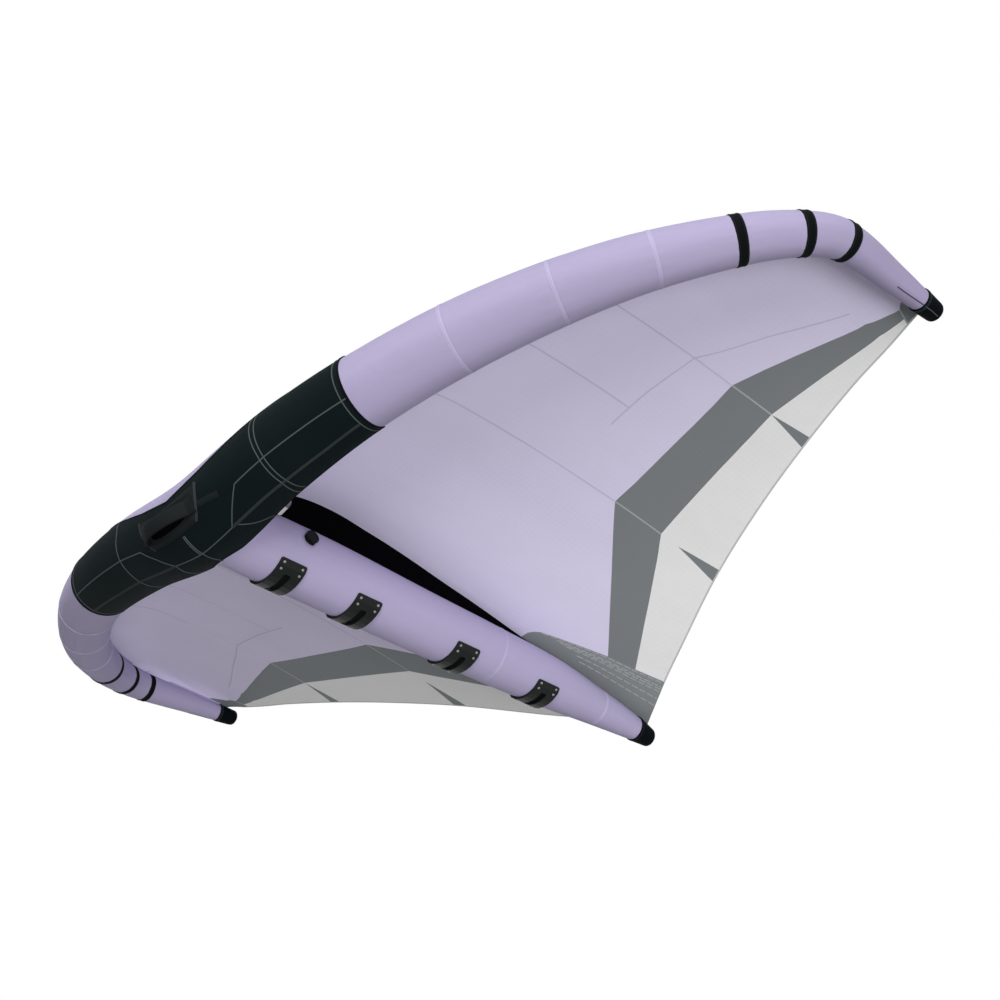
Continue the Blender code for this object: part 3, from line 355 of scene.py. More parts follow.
shade("tube_cloth", (0.428, 0.382, 0.572), 0.6, 0.15, 0.035, weave=0.0002, wrinkle=0.002, streak=0.45)
# The canopy cloth is lighter than the tube cloth partly as the ripstop's own paler tone and partly as painted
# light that shines through the thin cloth
shade("canopy_cloth", (0.725, 0.68, 0.875), 0.65, 0.12, 0.025, weave=0.0001, wrinkle=0.004, ripstop=0.008)
shade("band_cloth", (0.2, 0.217, 0.227), 0.62, 0.2, 0.03, weave=0.0001, wrinkle=0.003, ripstop=0.008)
shade("pale_cloth", (0.845, 0.845, 0.845), 0.6, 0.2, 0.02, weave=0.0001, wrinkle=0.003, ripstop=0.008)
shade("strip_cloth", (0.262, 0.283, 0.289), 0.7, 0.15, 0.05, weave=0.0003, pitch=0.002)
shade("panel_cloth", (0.0054, 0.0098, 0.0112), 0.75, 0.03, 0.18, weave=0.0004, pitch=0.0018, wrinkle=0.001)
shade("tape_cloth", (0.0045, 0.0055, 0.0065), 0.75, 0.03, 0.15, weave=0.0004, pitch=0.0016)
# web_cloth also makes the painted shade in the gap under the grip
shade("web_cloth", (0.0015, 0.0015, 0.002), 0.85, 0.01, 0.12, weave=0.0002, wrinkle=0.003)
shade("cap_cloth", (0.0032, 0.0046, 0.0058), 0.7, 0.018, 0.15, weave=0.0004, pitch=0.0018)
shade("piping", (0.036, 0.041, 0.041), 0.7, 0.05, 0.12, grain=0.0003)
shade("neoprene", (0.0114, 0.0142, 0.015), 0.8, 0.05, 0.15, grain=0.0005, wrinkle=0.001)
shade("thread", (0.078, 0.092, 0.09), 0.8, 0.05, 0.1, grain=0.0003)
shade("dim_thread", (0.032, 0.038, 0.037), 0.8, 0.05, 0.1, grain=0.0003)
shade("pale_thread", (0.4, 0.415, 0.42), 0.7, 0.1, 0.08, grain=0.0003)
shade("seam_tape", (0.444, 0.398, 0.59), 0.58, 0.15, 0.03, weave=0.0002)
shade("seam_line", (0.58, 0.542, 0.71), 0.65, 0.1, 0.06, grain=0.0002)
shade("dark_line", (0.075, 0.06, 0.11), 0.7, 0.1, 0.1, grain=0.0002)
shade("light_tab", (0.62, 0.62, 0.61), 0.7, 0.15, 0.06, weave=0.0004, pitch=0.002)
shade("hem_cloth", (0.56, 0.565, 0.565), 0.7, 0.15, 0.05, weave=0.0003)
shade("plate_plastic", (0.01, 0.0112, 0.011), 0.48, 0.12, 0.12, grain=0.0003)
shade("valve_plastic", (0.005, 0.0055, 0.0058), 0.42, 0.1, 0.12, grain=0.0002)
shade("grey_plastic", (0.2, 0.2, 0.21), 0.4, 0.35, 0.05, grain=0.0002)
shade("seal_rubber", (0.012, 0.012, 0.012), 0.7, 0.35, 0.12, grain=0.0003)
shade("screw_steel", (0.3, 0.305, 0.3), 0.38, 0.35, 0.05, metal=0.85, grain=0.0001)
shade("film", (0.8, 0.81, 0.79), 0.3, 0.35, 0.03, grain=0.0001)
shade("floor", (0.86, 0.86, 0.85), 0.9, 0.35, 0.01, grain=0.0005)


# Making meshes

SIDES = 72
# A seam draws its cloth in by this much, over this reach, and sends out wrinkles of this height and reach
SEAM_DEPTH, SEAM_REACH, RAY_HEIGHT, RAY_REACH = 0.0006, 0.008, 0.0014, 0.035
RAYS_ROUND, RAY_SEED = 9, 3.7
# Width of a ridge's top as a share of its foot, and how deep it sits in the cloth
RIDGE_TOP, RIDGE_SINK = 0.6, 0.0002
# The dome that closes a cap, in turns from its rim, and the heights of its curve and its pole
CAP_SIDES, DOME_TURNS, CAP_DOME, CAP_POLE = 48, (0.2, 0.42, 0.66, 0.9, 1.15, 1.38), 0.0165, 0.0168


def add(name, mesh, look, slot, *nodes, angle=50.0):
    """Makes a piece of the wing in one look or several, which stands for the CAD nodes if there are any."""
    data = bpy.data.meshes.new(name)
    mesh.to_mesh(data)
    mesh.free()
    data.shade_smooth()
    data.set_sharp_from_angle(angle=radians(angle))
    for one in [look] if isinstance(look, str) else look:
        data.materials.append(looks[one])
    made = bpy.data.objects.new(name, data)
    scene.collection.objects.link(made)
    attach(made, "wing")
    if nodes:
        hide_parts(*nodes)
    return made


def grid_into(mesh, rows, uvs=None, closed=False, flip=False):
    """Quads over a grid of points, with cloth coordinates in metres."""
    layer = mesh.loops.layers.uv.verify()
    verts = [[mesh.verts.new(p) for p in row] for row in rows]
    count = len(rows[0])
    for i in range(len(rows) - 1):
        for j in range(count if closed else count - 1):
            k = (j + 1) % count
            around = [(i, j), (i, k), (i + 1, k), (i + 1, j)]
            if flip:
                around.reverse()
            face = mesh.faces.new([verts[r][c] for r, c in around])
            if uvs:
                for loop, (r, c) in zip(face.loops, around):
                    wrapped = closed and j == count - 1 and c == 0
                    loop[layer].uv = uvs(r, count if wrapped else c)
    return verts


def even(u, v):
    """Cloth coordinates in even steps."""
    return lambda r, c: (r * u, c * v)


def gridded(name, rows, uvs, look, slot, *nodes, **form):
    """A piece made of one grid."""
    mesh = bmesh.new()
    grid_into(mesh, rows, uvs, **form)
    return add(name, mesh, look, slot, *nodes)


def finer_near(low, high, step, seams, reach=0.03, fine=0.006):
    """Values from low to high, about a step apart, and closer within reach of a seam."""
    places = set(spread(low, high, step))
    for seam in seams:
        places |= {p for p in spread(seam - reach, seam + reach, fine) if low < p < high}
    ordered = sorted(places)
    least = fine * 0.6
    kept = [ordered[0]]
    for place in ordered[1:-1]:
        if place - kept[-1] > least and ordered[-1] - place > least:
            kept.append(place)
    return kept + [ordered[-1]]


def pucker(distance, turn, seed):
    """How far cloth stands out near a seam, which draws it in and wrinkles it."""
    ring = exp(-(distance / SEAM_REACH) ** 2)
    rays = noise.noise(Vector((cos(turn) * RAYS_ROUND, sin(turn) * RAYS_ROUND, seed * RAY_SEED)))
    return RAY_HEIGHT * rays * exp(-(distance / RAY_REACH) ** 2) - SEAM_DEPTH * ring


def bars_into(mesh, points, normals, width, corners, dash, sides, ends=True):
    """Short bars along points: corners in half widths and metres up, and how many of a dash show or don't."""
    for k in range(len(points) - 1):
        if dash and k % sum(dash) >= dash[0]:
            continue
        sections = []
        for i in (k, k + 1):
            along = points[min(i + 1, len(points) - 1)] - points[max(i - 1, 0)]
            side = along.cross(normals[i]).normalized() * width / 2
            sections.append([mesh.verts.new(points[i] + side * a + normals[i] * b) for a, b in corners])
        low, high = sections
        for j in range(sides):
            mesh.faces.new((low[j], low[(j + 1) % 4], high[(j + 1) % 4], high[j]))
        if ends:
            mesh.faces.new(low[::-1])
            mesh.faces.new(high)


def ribbon_into(mesh, points, normals, width, rise, dash=None):
    """A low ridge along points on a surface, whole or cut into stitches."""
    corners = ((1, -RIDGE_SINK), (RIDGE_TOP, rise), (-RIDGE_TOP, rise), (-1, -RIDGE_SINK))
    bars_into(mesh, points, normals, width, corners, dash, 3)


def along_table(table, step, scale=1.0):
    """Even readings along a line of pairs. A unit of the second is scale times one of the first."""
    lengths = [0.0]
    for (a, b), (c, d) in zip(table, table[1:]):
        lengths.append(lengths[-1] + hypot(c - a, (d - b) * scale))
    count = max(int(lengths[-1] / step), 2)
    found = []
    for k in range(count + 1):
        at = lengths[-1] * k / count
        i = 0
        while i < len(lengths) - 2 and at > lengths[i + 1]:
            i += 1
        part = (at - lengths[i]) / (lengths[i + 1] - lengths[i])
        found.append([u + (v - u) * part for u, v in zip(table[i], table[i + 1])])
    return found


def edge_line_into(mesh, table, width, rise, lift, dash=None, step=0.003):
    """A ridge on the leading edge, through places and turns in degrees."""
    spots = [(s, radians(a)) for s, a in along_table(table, step, NOSE_R * pi / 180)]
    points = [on_edge(s, a, lift) for s, a in spots]
    normals = [(p - edge_at(s)[0]).normalized() for p, (s, _) in zip(points, spots)]
    ribbon_into(mesh, points, normals, width, rise, dash)


def strut_line_into(mesh, table, width, rise, lift, dash=None, step=0.003):
    """A ridge on the strut, through places along Y and turns in degrees."""
    spots = [(y, radians(a)) for y, a in along_table(table, step, 0.09 * pi / 180)]
    points = [on_strut(y, a, lift) for y, a in spots]
    ribbon_into(mesh, points, [outwards(a) for _, a in spots], width, rise, dash)


def ring(place, low, high):
    return [(place, low), (place, high)]


def mirrored(*tables, scale=1.0):
    return [[(side * place * scale, at) for place, at in table] for side in (-1, 1) for table in tables]


def ridges(name, look, slot, tables, *form, line_into=edge_line_into):
    """A piece made of a ridge through each table."""
    mesh = bmesh.new()
    for table in tables:
        line_into(mesh, table, *form)
    return add(name, mesh, look, slot)


def closed_cap(name, node, point_at, begin, end, lifts, centre, out, uv_step):
    """A cloth cap over the end of a tube. Lifts are shares of its length, and how far it stands off there."""
    rings = [[point_at(begin + (end - begin) * share, turn, lift) for turn in round_turns(CAP_SIDES)]
             for share, lift in lifts]
    rim = rings[-1]
    for turn in DOME_TURNS:
        rings.append([centre + (p - centre) * cos(turn) + out * CAP_DOME * sin(turn) for p in rim])
    mesh = bmesh.new()
    last = grid_into(mesh, rings, even(uv_step, uv_step), closed=True)[-1]
    pole = mesh.verts.new(centre + out * CAP_POLE)
    for j in range(CAP_SIDES):
        mesh.faces.new((last[j], last[(j + 1) % CAP_SIDES], pole))
    bmesh.ops.recalc_face_normals(mesh, faces=mesh.faces)
    add(name, mesh, "cap_cloth", "black_cloth", node)


# Leading edge

TUBE_GIRTH = tau * 0.09
SEAM_LOW, SEAM_HIGH = 92, 420
# Across a band: shares of its half width, and how far it stands off the tube
BAND_HALF, BAND_LOW, BAND_HIGH = 0.013, 90, 405
BAND_SECTION = ((-1, -0.0012), (-0.94, 0.0014), (-0.5, 0.0016), (0, 0.0012), (0.5, 0.0016), (0.94, 0.0014),
                (1, -0.0012))


def edge_tube(part, low, high):
    seams = [sign * share * HALF for sign in (-1, 1) for share in (*SEAMS, *BANDS)]
    places = finer_near(low, high, 0.022, seams + [low, high])
    rows = []
    for place in places:
        near = min(seams, key=lambda seam: abs(seam - place))
        rows.append([on_edge(place, turn, pucker(abs(near - place), turn, near))
                     for turn in round_turns(SIDES)])
    made = gridded(f"edge_tube_{part}", rows, lambda r, c: (places[r], c / SIDES * TUBE_GIRTH), "tube_cloth",
                   "lilac_cloth", f"edge_casing_{part}", closed=True)


centre_end = PANEL_END * HALF
edge_tube("centre", -centre_end, centre_end)
for side, word in BOTH:
    for part, low, high in SEGMENTS:
        edge_tube(f"{part}_{word}", *sorted((side * low * HALF, side * high * HALF)))
    for share, part in zip(BANDS, ("inner", "middle", "outer")):
        middle = side * share * HALF
        places = [middle + BAND_HALF * t for t, _ in BAND_SECTION]
        turns = [radians(a) for a in spread(BAND_LOW, BAND_HIGH, 5)]
        rows = [[on_edge(p, a, lift) for a in turns] for p, (_, lift) in zip(places, BAND_SECTION)]
        gridded(f"edge_band_cloth_{part}_{word}", rows, lambda r, c: (places[r], c * 0.0075), "tape_cloth",
                "black_cloth", f"edge_band_{part}_{word}", flip=True)
        rings = [ring(middle + shift, BAND_LOW + 2, BAND_HIGH - 2) for shift in (-0.009, 0.009)]
        ridges(f"edge_band_stitch_{part}_{word}", "dim_thread", "black_cloth", rings, 0.0012, 0.0007, 0.0015,
               (2, 1))

seam_places = [side * share * HALF for side in (-1, 1) for share in SEAMS]
rings = [ring(place, SEAM_LOW, SEAM_HIGH) for place in seam_places]
ridges("edge_seam_tape", "seam_tape", "lilac_cloth", rings, 0.011, 0.0004, 0.0002, None, 0.006)
rings = [ring(place + shift, SEAM_LOW, SEAM_HIGH) for place in seam_places for shift in (-0.003, 0.003)]
ridges("edge_seam_stitch", "seam_line", "lilac_cloth", rings, 0.0012, 0.0005, 0.0005, (2, 1))
ridges("tip_seam", "dark_line", "lilac_cloth", mirrored(
    [(0.921, 254), (0.935, 254), (0.948, 252), (0.961, 249), (CAP_START + 0.001, 246)], scale=HALF),
    0.0034, 0.0006, 0.0004)

for side, word in BOTH:
    begin, end = side * CAP_START * HALF, side * HALF
    centre, along, _ = edge_at(end)
    closed_cap(f"tip_cap_cloth_{word}", f"tip_cap_{word}", on_edge, begin, end,
               ((0.0, 0.0002), (0.0, 0.003), (0.03, 0.0034), (0.25, 0.0033), (0.5, 0.0033), (0.75, 0.0033),
                (1.0, 0.0031)), centre, along * side, 0.007)
    mesh = bmesh.new()
    for shift in (0.005, 0.01):
        edge_line_into(mesh, ring(begin + side * shift, 0, 360), 0.0011, 0.0006, 0.0033, (2, 1))
    table = [(side * share * HALF, turn) for share, turn in ((0.973, 246), (0.985, 244), (0.998, 246))]
    edge_line_into(mesh, table, 0.003, 0.0006, 0.0033)
    add(f"tip_cap_stitch_{word}", mesh, "thread", "black_cloth")


# Panel round the centre of the leading edge

NECK_GAP = 0.004
PANEL_COLUMNS, PANEL_GIRTH, PANEL_LIFT, STITCH_LIFT = 72, 0.45, 0.0016, 0.0019
neck_centre, neck_radius = strut_at(NECK * STRUT_LENGTH)


def turn_at_height(z, centre, radius):
    return asin(max(min((z - centre.z) / radius, 1), -1))


def panel_turns(place):
    """Turns of the panel's dipped top edge, and of its low edge, which keeps in front of the strut."""
    centre, _, _, radius = edge_frame(place)
    radius *= ROUND
    crest = NOSE.z + between(DIP, abs(centre.x) / edge_at(centre_end)[0].x) * NOSE_R
    top = max(pi - turn_at_height(crest, centre, radius), radians(PANEL_TOP))
    low = radians(PANEL_LOW)
    reach = neck_radius + NECK_GAP
    if abs(centre.x) < reach:
        neck_low = neck_centre.z - sqrt(reach**2 - centre.x**2)
        low = min(low, tau + turn_at_height(neck_low, centre, radius))
    return top, low


places = finer_near(-centre_end, centre_end, 0.012, [-0.09, 0.09, 0.0], 0.02, 0.004)
edges = [panel_turns(place) for place in places]
rows = [[on_edge(place, top + (low - top) * t, PANEL_LIFT) for t in spread(0, 1, 1 / PANEL_COLUMNS)]
        for place, (top, low) in zip(places, edges)]
panel = gridded("nose_panel_cloth", rows, lambda r, c: (places[r], c / PANEL_COLUMNS * PANEL_GIRTH),
                "panel_cloth", "black_cloth", "nose_panel")
thick = panel.modifiers.new("thickness", "SOLIDIFY")
thick.thickness, thick.offset = 0.0012, -1.0

mesh = bmesh.new()
for sign in (-1, 1):
    edge_line_into(mesh, ring(sign * (centre_end - 0.003), PANEL_TOP, PANEL_LOW), 0.008, 0.0022, 0.0012)
for k, inwards in ((0, 0.8), (1, -0.8)):
    table = [(place, degrees(turns[k]) + inwards) for place, turns in zip(places, edges)]
    edge_line_into(mesh, table, 0.005, 0.0016, 0.0014)
piping = add("nose_panel_piping", mesh, "tape_cloth", "black_cloth")

end = centre_end - 0.006
fine_stitch = ridges("nose_panel_stitch", "thread", "black_cloth", (
    [(-0.306, 159), (-0.279, 184), (-0.279, 221), (-0.274, 246), (-0.279, 280), (-0.284, 312)],
    [(-end, 223), (-0.283, 223), (-0.16, 225), (-0.114, 242), (-0.078, 263), (0.018, 269)],
    [(0.018, 269), (0.137, 269), (0.174, 255), (0.242, 230), (0.366, 227), (end, 226)],
    [(0.343, 128), (0.343, 173), (0.347, 219), (0.343, 269), (0.325, 305), (0.32, 314)],
    [(0.361, 128), (0.361, 176), (0.361, 223), (0.357, 272), (0.347, 312)],
    [(0.155, 272), (0.178, 290), (0.206, 307), (0.206, 314)], [(-0.078, 263), (-0.087, 280), (-0.09, 312)],
    [(0.026, 236), (0.018, 269), (0.009, 296), (-0.009, 314)], [(0.021, 236), (0.012, 269)],
    ring(-end + 0.012, 96, 314), ring(end - 0.012, 96, 314)), 0.0036, 0.0007, STITCH_LIFT)
thick_stitch = ridges("nose_panel_joins", "dim_thread", "black_cloth", [
    [(place, turn + shift) for place, turn in table]
    for table in (((-end, 262), (-0.425, 265), (-0.279, 264), (-0.078, 263)),
                  ((0.137, 269), (0.347, 271), (0.503, 272), (end - 0.012, 269)))
    for shift in (-1.2, 1.2)], 0.0044, 0.0007, STITCH_LIFT)

tab_section = ((316, 0.0024), (317, 0.007), (321, 0.01), (327, 0.009), (333, 0.005), (336, 0.0018))
rows = [[on_edge(s, radians(a), lift) for a, lift in tab_section] for s in spread(0.212, 0.246, 0.0085)]
gridded("panel_tab", rows, even(0.007, 0.008), "light_tab", "grey_cloth")


# Front handle: crowned pad with piped ends, a padded grip arched over it, and painted shade under the grip

PAD_LOW, PAD_HIGH = 190.5, 231.5
# Turn in degrees, and half the pad's width there
PAD_WIDTHS = ((188, 0.134), (203, 0.126), (213, 0.117), (226, 0.1), (232, 0.088))
# How far the pad's foot and face stand off the tube, and how its crown rises within a share of its width
PAD_FOOT, PAD_FACE, PAD_CROWN, CROWN_REACH = 0.0018, 0.0022, 0.0062, 0.3
# Share of the pad's height at which a ridge runs along it, and the ridge's height
PAD_RIDGES, RIDGE_REACH = ((0.88, 0.0024), (0.12, 0.0014)), 0.1
# Grip: half its length, its rise, the share of that length where the rise ends, and its lean in radians
GRIP_HALF, GRIP_ARCH, ARCH_END, GRIP_LEAN, GRIP_SIDES = 0.108, 0.045, 0.82, 0.02, 28
# Painted shade under the grip: the middle turn of a near-black sheet and its reach to each side, in degrees,
# and its half length
GAP_TURN, GAP_REACH, GAP_HALF = 213, 11, 0.078


def pad_half(angle):
    return between(PAD_WIDTHS, angle)


def pad_row(t, under):
    angle = PAD_LOW + (PAD_HIGH - PAD_LOW) * t
    row = []
    for s in across:
        edge = min(1 - abs(s), 1.35 * (1 - abs(2 * t - 1)))
        crown = PAD_CROWN * (1 - (1 - min(edge / CROWN_REACH, 1)) ** 2) ** 0.5
        ridge = sum(height * exp(-((t - at) / RIDGE_REACH) ** 2) for at, height in PAD_RIDGES)
        lift = PAD_FOOT if under else PAD_FACE + crown + ridge * min(edge * 6, 1)
        row.append(on_edge(s * pad_half(angle), radians(angle), lift))
    return row


mesh = bmesh.new()
across, around = spread(-1, 1, 1 / 22), spread(0, 1, 1 / 18)
top_verts, low_verts = [
    grid_into(mesh, [pad_row(t, under) for t in around], even(0.006, 0.006), flip=under)
    for under in (False, True)]
last_r, last_c = len(around) - 1, len(across) - 1
rim = [(0, c) for c in range(last_c)] + [(r, last_c) for r in range(last_r)]
rim += [(last_r, c) for c in range(last_c, 0, -1)] + [(r, 0) for r in range(last_r, 0, -1)]
for (r0, c0), (r1, c1) in zip(rim, rim[1:] + rim[:1]):
    mesh.faces.new((top_verts[r0][c0], low_verts[r0][c0], low_verts[r1][c1], top_verts[r1][c1]))
bmesh.ops.recalc_face_normals(mesh, faces=mesh.faces)
pad = add("handle_pad_soft", mesh, "neoprene", "black_rubber", "handle_pad")

ridges("handle_pad_piping", "piping", "black_rubber", mirrored(
    [(pad_half(a) - 0.001, a) for a in spread(189.5, 232.0, 3)]), 0.006, 0.0048, PAD_FACE)
ridges("handle_pad_hem", "neoprene", "black_rubber", [
    [(-pad_half(a), a), (pad_half(a), a)] for a in (PAD_LOW, PAD_HIGH)], 0.005, 0.003, PAD_FACE)


def squarer(value, power):
    return copysign(abs(value) ** power, value)


def grip_ring(s):
    """A section of the grip, a flattened round, at a share of its half length."""
    ends = abs(s) ** 3
    arch = GRIP_ARCH * max(cos(pi / 2 * abs(s) / ARCH_END), 0) ** 0.7
    thick_half = 0.0042 + 0.0022 * (1 - ends)
    wide = 0.0185 + 0.0045 * ends
    middle = 0.005 + arch + thick_half
    ring = []
    for a in round_turns(GRIP_SIDES):
        x = squarer(cos(a), 0.55) * wide
        z = squarer(sin(a), 0.85) * thick_half
        ring.append(on_edge(s * GRIP_HALF, HANDLE_TURN - GRIP_LEAN + x / (NOSE_R + arch), middle + z))
    return ring


rings = [grip_ring(sin(pi / 2 * t)) for t in spread(-1, 1, 1 / 30)]
mesh = bmesh.new()
verts = grid_into(mesh, rings, even(0.004, 0.004), closed=True)
mesh.faces.new(verts[0])
mesh.faces.new(verts[-1][::-1])
bmesh.ops.recalc_face_normals(mesh, faces=mesh.faces)
grip = add("handle_grip_soft", mesh, "neoprene", "black_rubber", "handle_grip")
mesh = bmesh.new()
middles = [sum(ring, Vector()) / GRIP_SIDES for ring in rings]
for column in (1, 13):
    points = [ring[column] for ring in rings]
    ribbon_into(mesh, points, [(p - m).normalized() for p, m in zip(points, middles)], 0.0028, 0.0008)
add("handle_grip_seams", mesh, "tape_cloth", "black_rubber")
# Painted shade: a near-black sheet just off the pad in the gap under the grip, dark where the grip shades the
# pad
rows = [[on_edge(s * GAP_HALF, radians(GAP_TURN + t * GAP_REACH), 0.01 - 0.0012 * t**2 - 0.0018 * s**4)
         for t in spread(-1, 1, 1.5 / GAP_REACH)] for s in spread(-1, 1, 0.004 / GAP_HALF)]
gridded("hand_gap_painted_shade", rows, even(0.004, 0.003), "web_cloth", "black_rubber")
ridges("handle_strap_end", "neoprene", "black_rubber", [[(0.118, 217), (0.15, 220), (0.188, 225)]], 0.016,
       0.0014, 0.002)


# Strut

STRUT_GIRTH, STRUT_SEAM_TURN, STRUT_PUCKER_SEED = 0.56, 233, 1.3


def at_nose(point):
    """A point of the strut's neck moved along Y onto the leading edge."""
    centre, _, _, radius = edge_frame(point.x)
    forward = sqrt(max((radius * ROUND - 0.001) ** 2 - (point.z - centre.z) ** 2, 0))
    return Vector((point.x, centre.y + forward, point.z))


def strut_pucker(y, turn):
    near = min(abs(y - strut_y(share)) for share in STRUT_SEAMS)
    return pucker(near, turn, STRUT_PUCKER_SEED) if near < 0.1 else 0.0


start_y, end_y = strut_y(STRUT_START), strut_y(STRUT_END)
joint = [at_nose(neck_centre + outwards(turn) * neck_radius * ROUND) for turn in round_turns(SIDES)]
first = [on_strut(start_y, turn) for turn in round_turns(SIDES)]
rows = [[a.lerp(b, t) for a, b in zip(joint, first)]
        for t in (0.0, 0.04, 0.1, 0.2, 0.35, 0.5, 0.65, 0.8, 0.9)]
rows += [[on_strut(y, turn, strut_pucker(y, turn)) for turn in round_turns(SIDES)]
         for y in spread(start_y, end_y, 0.02)]
strut = gridded("strut_tube", rows, lambda r, c: (rows[r][0].y, c / SIDES * STRUT_GIRTH), "tube_cloth",
                "lilac_cloth", "strut_casing", closed=True, flip=True)

mesh = bmesh.new()
normals = [Vector((p.x, 0, p.z - neck_centre.z)).normalized() for p in joint + joint[:1]]
points = [p + n * 0.0008 + Vector((0, 0.004, 0)) for p, n in zip(joint + joint[:1], normals)]
ribbon_into(mesh, points, normals, 0.01, 0.0008)
add("strut_neck_tape", mesh, "seam_tape", "lilac_cloth")

mesh = bmesh.new()
table = [(start_y, STRUT_SEAM_TURN), (end_y, STRUT_SEAM_TURN)]
strut_line_into(mesh, table, 0.012, 0.0004, 0.0002, None, 0.02)
for share in STRUT_SEAMS:
    strut_line_into(mesh, ring(strut_y(share), 96, 444), 0.01, 0.0004, 0.0002, None, 0.006)
add("strut_seam_tape", mesh, "seam_tape", "lilac_cloth")
ridges("strut_seam_stitch", "seam_line", "lilac_cloth",
       [[(start_y, turn), (end_y, turn)] for turn in (STRUT_SEAM_TURN - 2.4, STRUT_SEAM_TURN + 2.4)],
       0.0014, 0.0006, 0.0003, (2, 2), line_into=strut_line_into)

begin, end = strut_y(TAIL_CAP_START), strut_y(TAIL_CAP_END)
closed_cap("tail_cap_cloth", "tail_cap", on_strut, begin, end,
           ((0.0, 0.0002), (0.0, 0.003), (0.04, 0.0035), (0.3, 0.0034), (0.6, 0.0033), (0.85, 0.0033),
            (1.0, 0.0031)), strut_at(end - NOSE.y)[0], Vector((0, 1, 0)), 0.006)
rings = [ring(begin + shift, 0, 360) for shift in (0.005, 0.01)]
ridges("tail_cap_stitch", "dim_thread", "black_cloth", rings, 0.0011, 0.0006, 0.0034, (2, 1),
       line_into=strut_line_into)


# Handle plates: cloth under each, screws through their arms

UNDER, PLATE_REACH, PLATE_HALF, PLATE_GAP = -90, 47, 0.042, 0.0003
# Turn of a screw from straight down, and the share of the arm's thickness at which its head sits
SCREW_TURNS, ARM = ((-46.0, 0.8), (-35.0, 1.0), (35.0, 1.0), (46.0, 0.8)), 0.0075
# Radius and height of a screw head's rings, the last of them down its socket
SCREW_RINGS = ((0.004, 0.0), (0.004, 0.001), (0.0034, 0.0018), (0.0022, 0.0021), (0.0018, 0.0021),
               (0.0017, 0.0009))
for number, y in enumerate(PLATE_Y, 1):
    turns = [radians(a) for a in spread(UNDER - PLATE_REACH, UNDER + PLATE_REACH, 3)]
    rows = [[on_strut(y + dy, a, lift) for a in turns]
            for dy, lift in ((-0.037, -0.0002), (-0.036, 0.0005), (0.036, 0.0005), (0.037, -0.0002))]
    made = gridded(f"plate_cloth_{number}", rows, even(0.03, 0.005), "tape_cloth", "black_cloth", flip=True)
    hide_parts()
    mesh = bmesh.new()
    ends = [strut_at(y - NOSE.y + d) for d in (-PLATE_HALF, PLATE_HALF)]
    widest = max(radius for _, radius in ends)
    middle = Vector((0, y, min(centre.z - radius for centre, radius in ends) + widest))
    for turn, share in SCREW_TURNS:
        for dy in (-0.03, 0.03):
            out = outwards(radians(UNDER + turn))
            place = middle + Vector((0, dy, 0)) + out * (widest + PLATE_GAP + ARM * share - 0.0004)
            turned = Matrix.Translation(place) @ out.to_track_quat("Z", "Y").to_matrix().to_4x4()
            rings = [[turned @ Vector((cos(a) * radius, sin(a) * radius, height))
                      for a in round_turns(12)] for radius, height in SCREW_RINGS]
            mesh.faces.new(grid_into(mesh, rings, closed=True)[-1])
    add(f"plate_screws_{number}", mesh, "screw_steel", "black_plastic", angle=35)


# Canopy: one sheet with panels of four cloths

CLOTHS = ("canopy_cloth", "band_cloth", "pale_cloth", "strip_cloth")
MAIN, BAND, PALE, STRIP_CLOTH = range(4)
# The middle line lies this far to each side, so that it belongs to one
MIDDLE = 1e-7
# Points that share a place: closer than the first, they make no face, and closer than the second, they merge
CLOSED, MERGED = 2e-5, 0.0001


def strip_edge(at):
    return STRIP_WIDTH * between(STRIP, at) if at > STRIP[0][0] else 0.0


def rib_line(share):
    """The place of a rib by chord share. Near the middle, ribs make way for the strip beside the strut."""
    def line(at):
        inner = INNER_RIB * HALF
        place = share * HALF
        if place < inner:
            edge = strip_edge(at)
            place = edge + (inner - edge) * place / inner
        return place
    return line


def tip_line(share):
    """The same near the tip, spread between the last plain rib, the patch's slanting side and the end."""
    def line(at):
        side = between(PATCH_SIDE, at)
        if share < PATCH:
            place = TIP_START + (side - TIP_START) * (share - TIP_START) / (PATCH - TIP_START)
        else:
            place = side + (CANOPY_END - side) * (share - PATCH) / (CANOPY_END - PATCH)
        return place * HALF
    return line


def wedge_side(share, start, turn):
    def line(at):
        return share * HALF + turn * WEDGE_HALF * max(at - start, 0) / (1 - start)
    return line


def band_shares(line):
    """The chord shares at which a line of the canopy crosses the two edges of the dark band."""
    found = []
    for column in (1, 2):
        at = 0.8
        for _ in range(40):
            at = between(BAND_EDGES, line(at) / HALF, column)
        found.append(at)
    return found


# Lines from front to rear, and the kind of cloth on the outer side of each
ribs = [(lambda at: 0.0, "strip"), (strip_edge, "cloth")]
marks = sorted({row[0] for row in (*BAND_EDGES[1:], *RIB_ENDS[1:])} | {0.03})
for before, mark in zip([0.0] + marks, marks):
    for share in spread(before, mark, 0.02)[1:]:
        start = next((start for where, start in WEDGES if isclose(where, share)), None)
        if start:
            ribs += [(wedge_side(share, start, -1), "wedge"), (wedge_side(share, start, 1), "cloth")]
        else:
            line = tip_line if share > TIP_START else rib_line
            ribs.append((line(share), "patch" if share > PATCH - 1e-6 else "cloth"))

strip_bands = band_shares(strip_edge)
main_columns = {row[0] / strip_bands[0] for row in STRIP if row[0] < strip_bands[0]}
main_columns = sorted({*main_columns, *[k / 34 for k in range(27)], 0.86, 0.89, 0.95, 1.0})
band_columns = spread(0, 1, 1 / 4)[1:]
trail_columns = spread(0, 1, 1 / 10)[1:]


def cloth_at(kind, column):
    """The cloth of a face behind one of the columns, outside a rib of that kind."""
    behind = column - len(main_columns) + 1
    if kind == "strip":
        return STRIP_CLOTH
    if kind == "patch" or (kind == "wedge" and behind >= 0):
        return BAND
    if behind < 0:
        return MAIN
    return BAND if behind < len(band_columns) else PALE


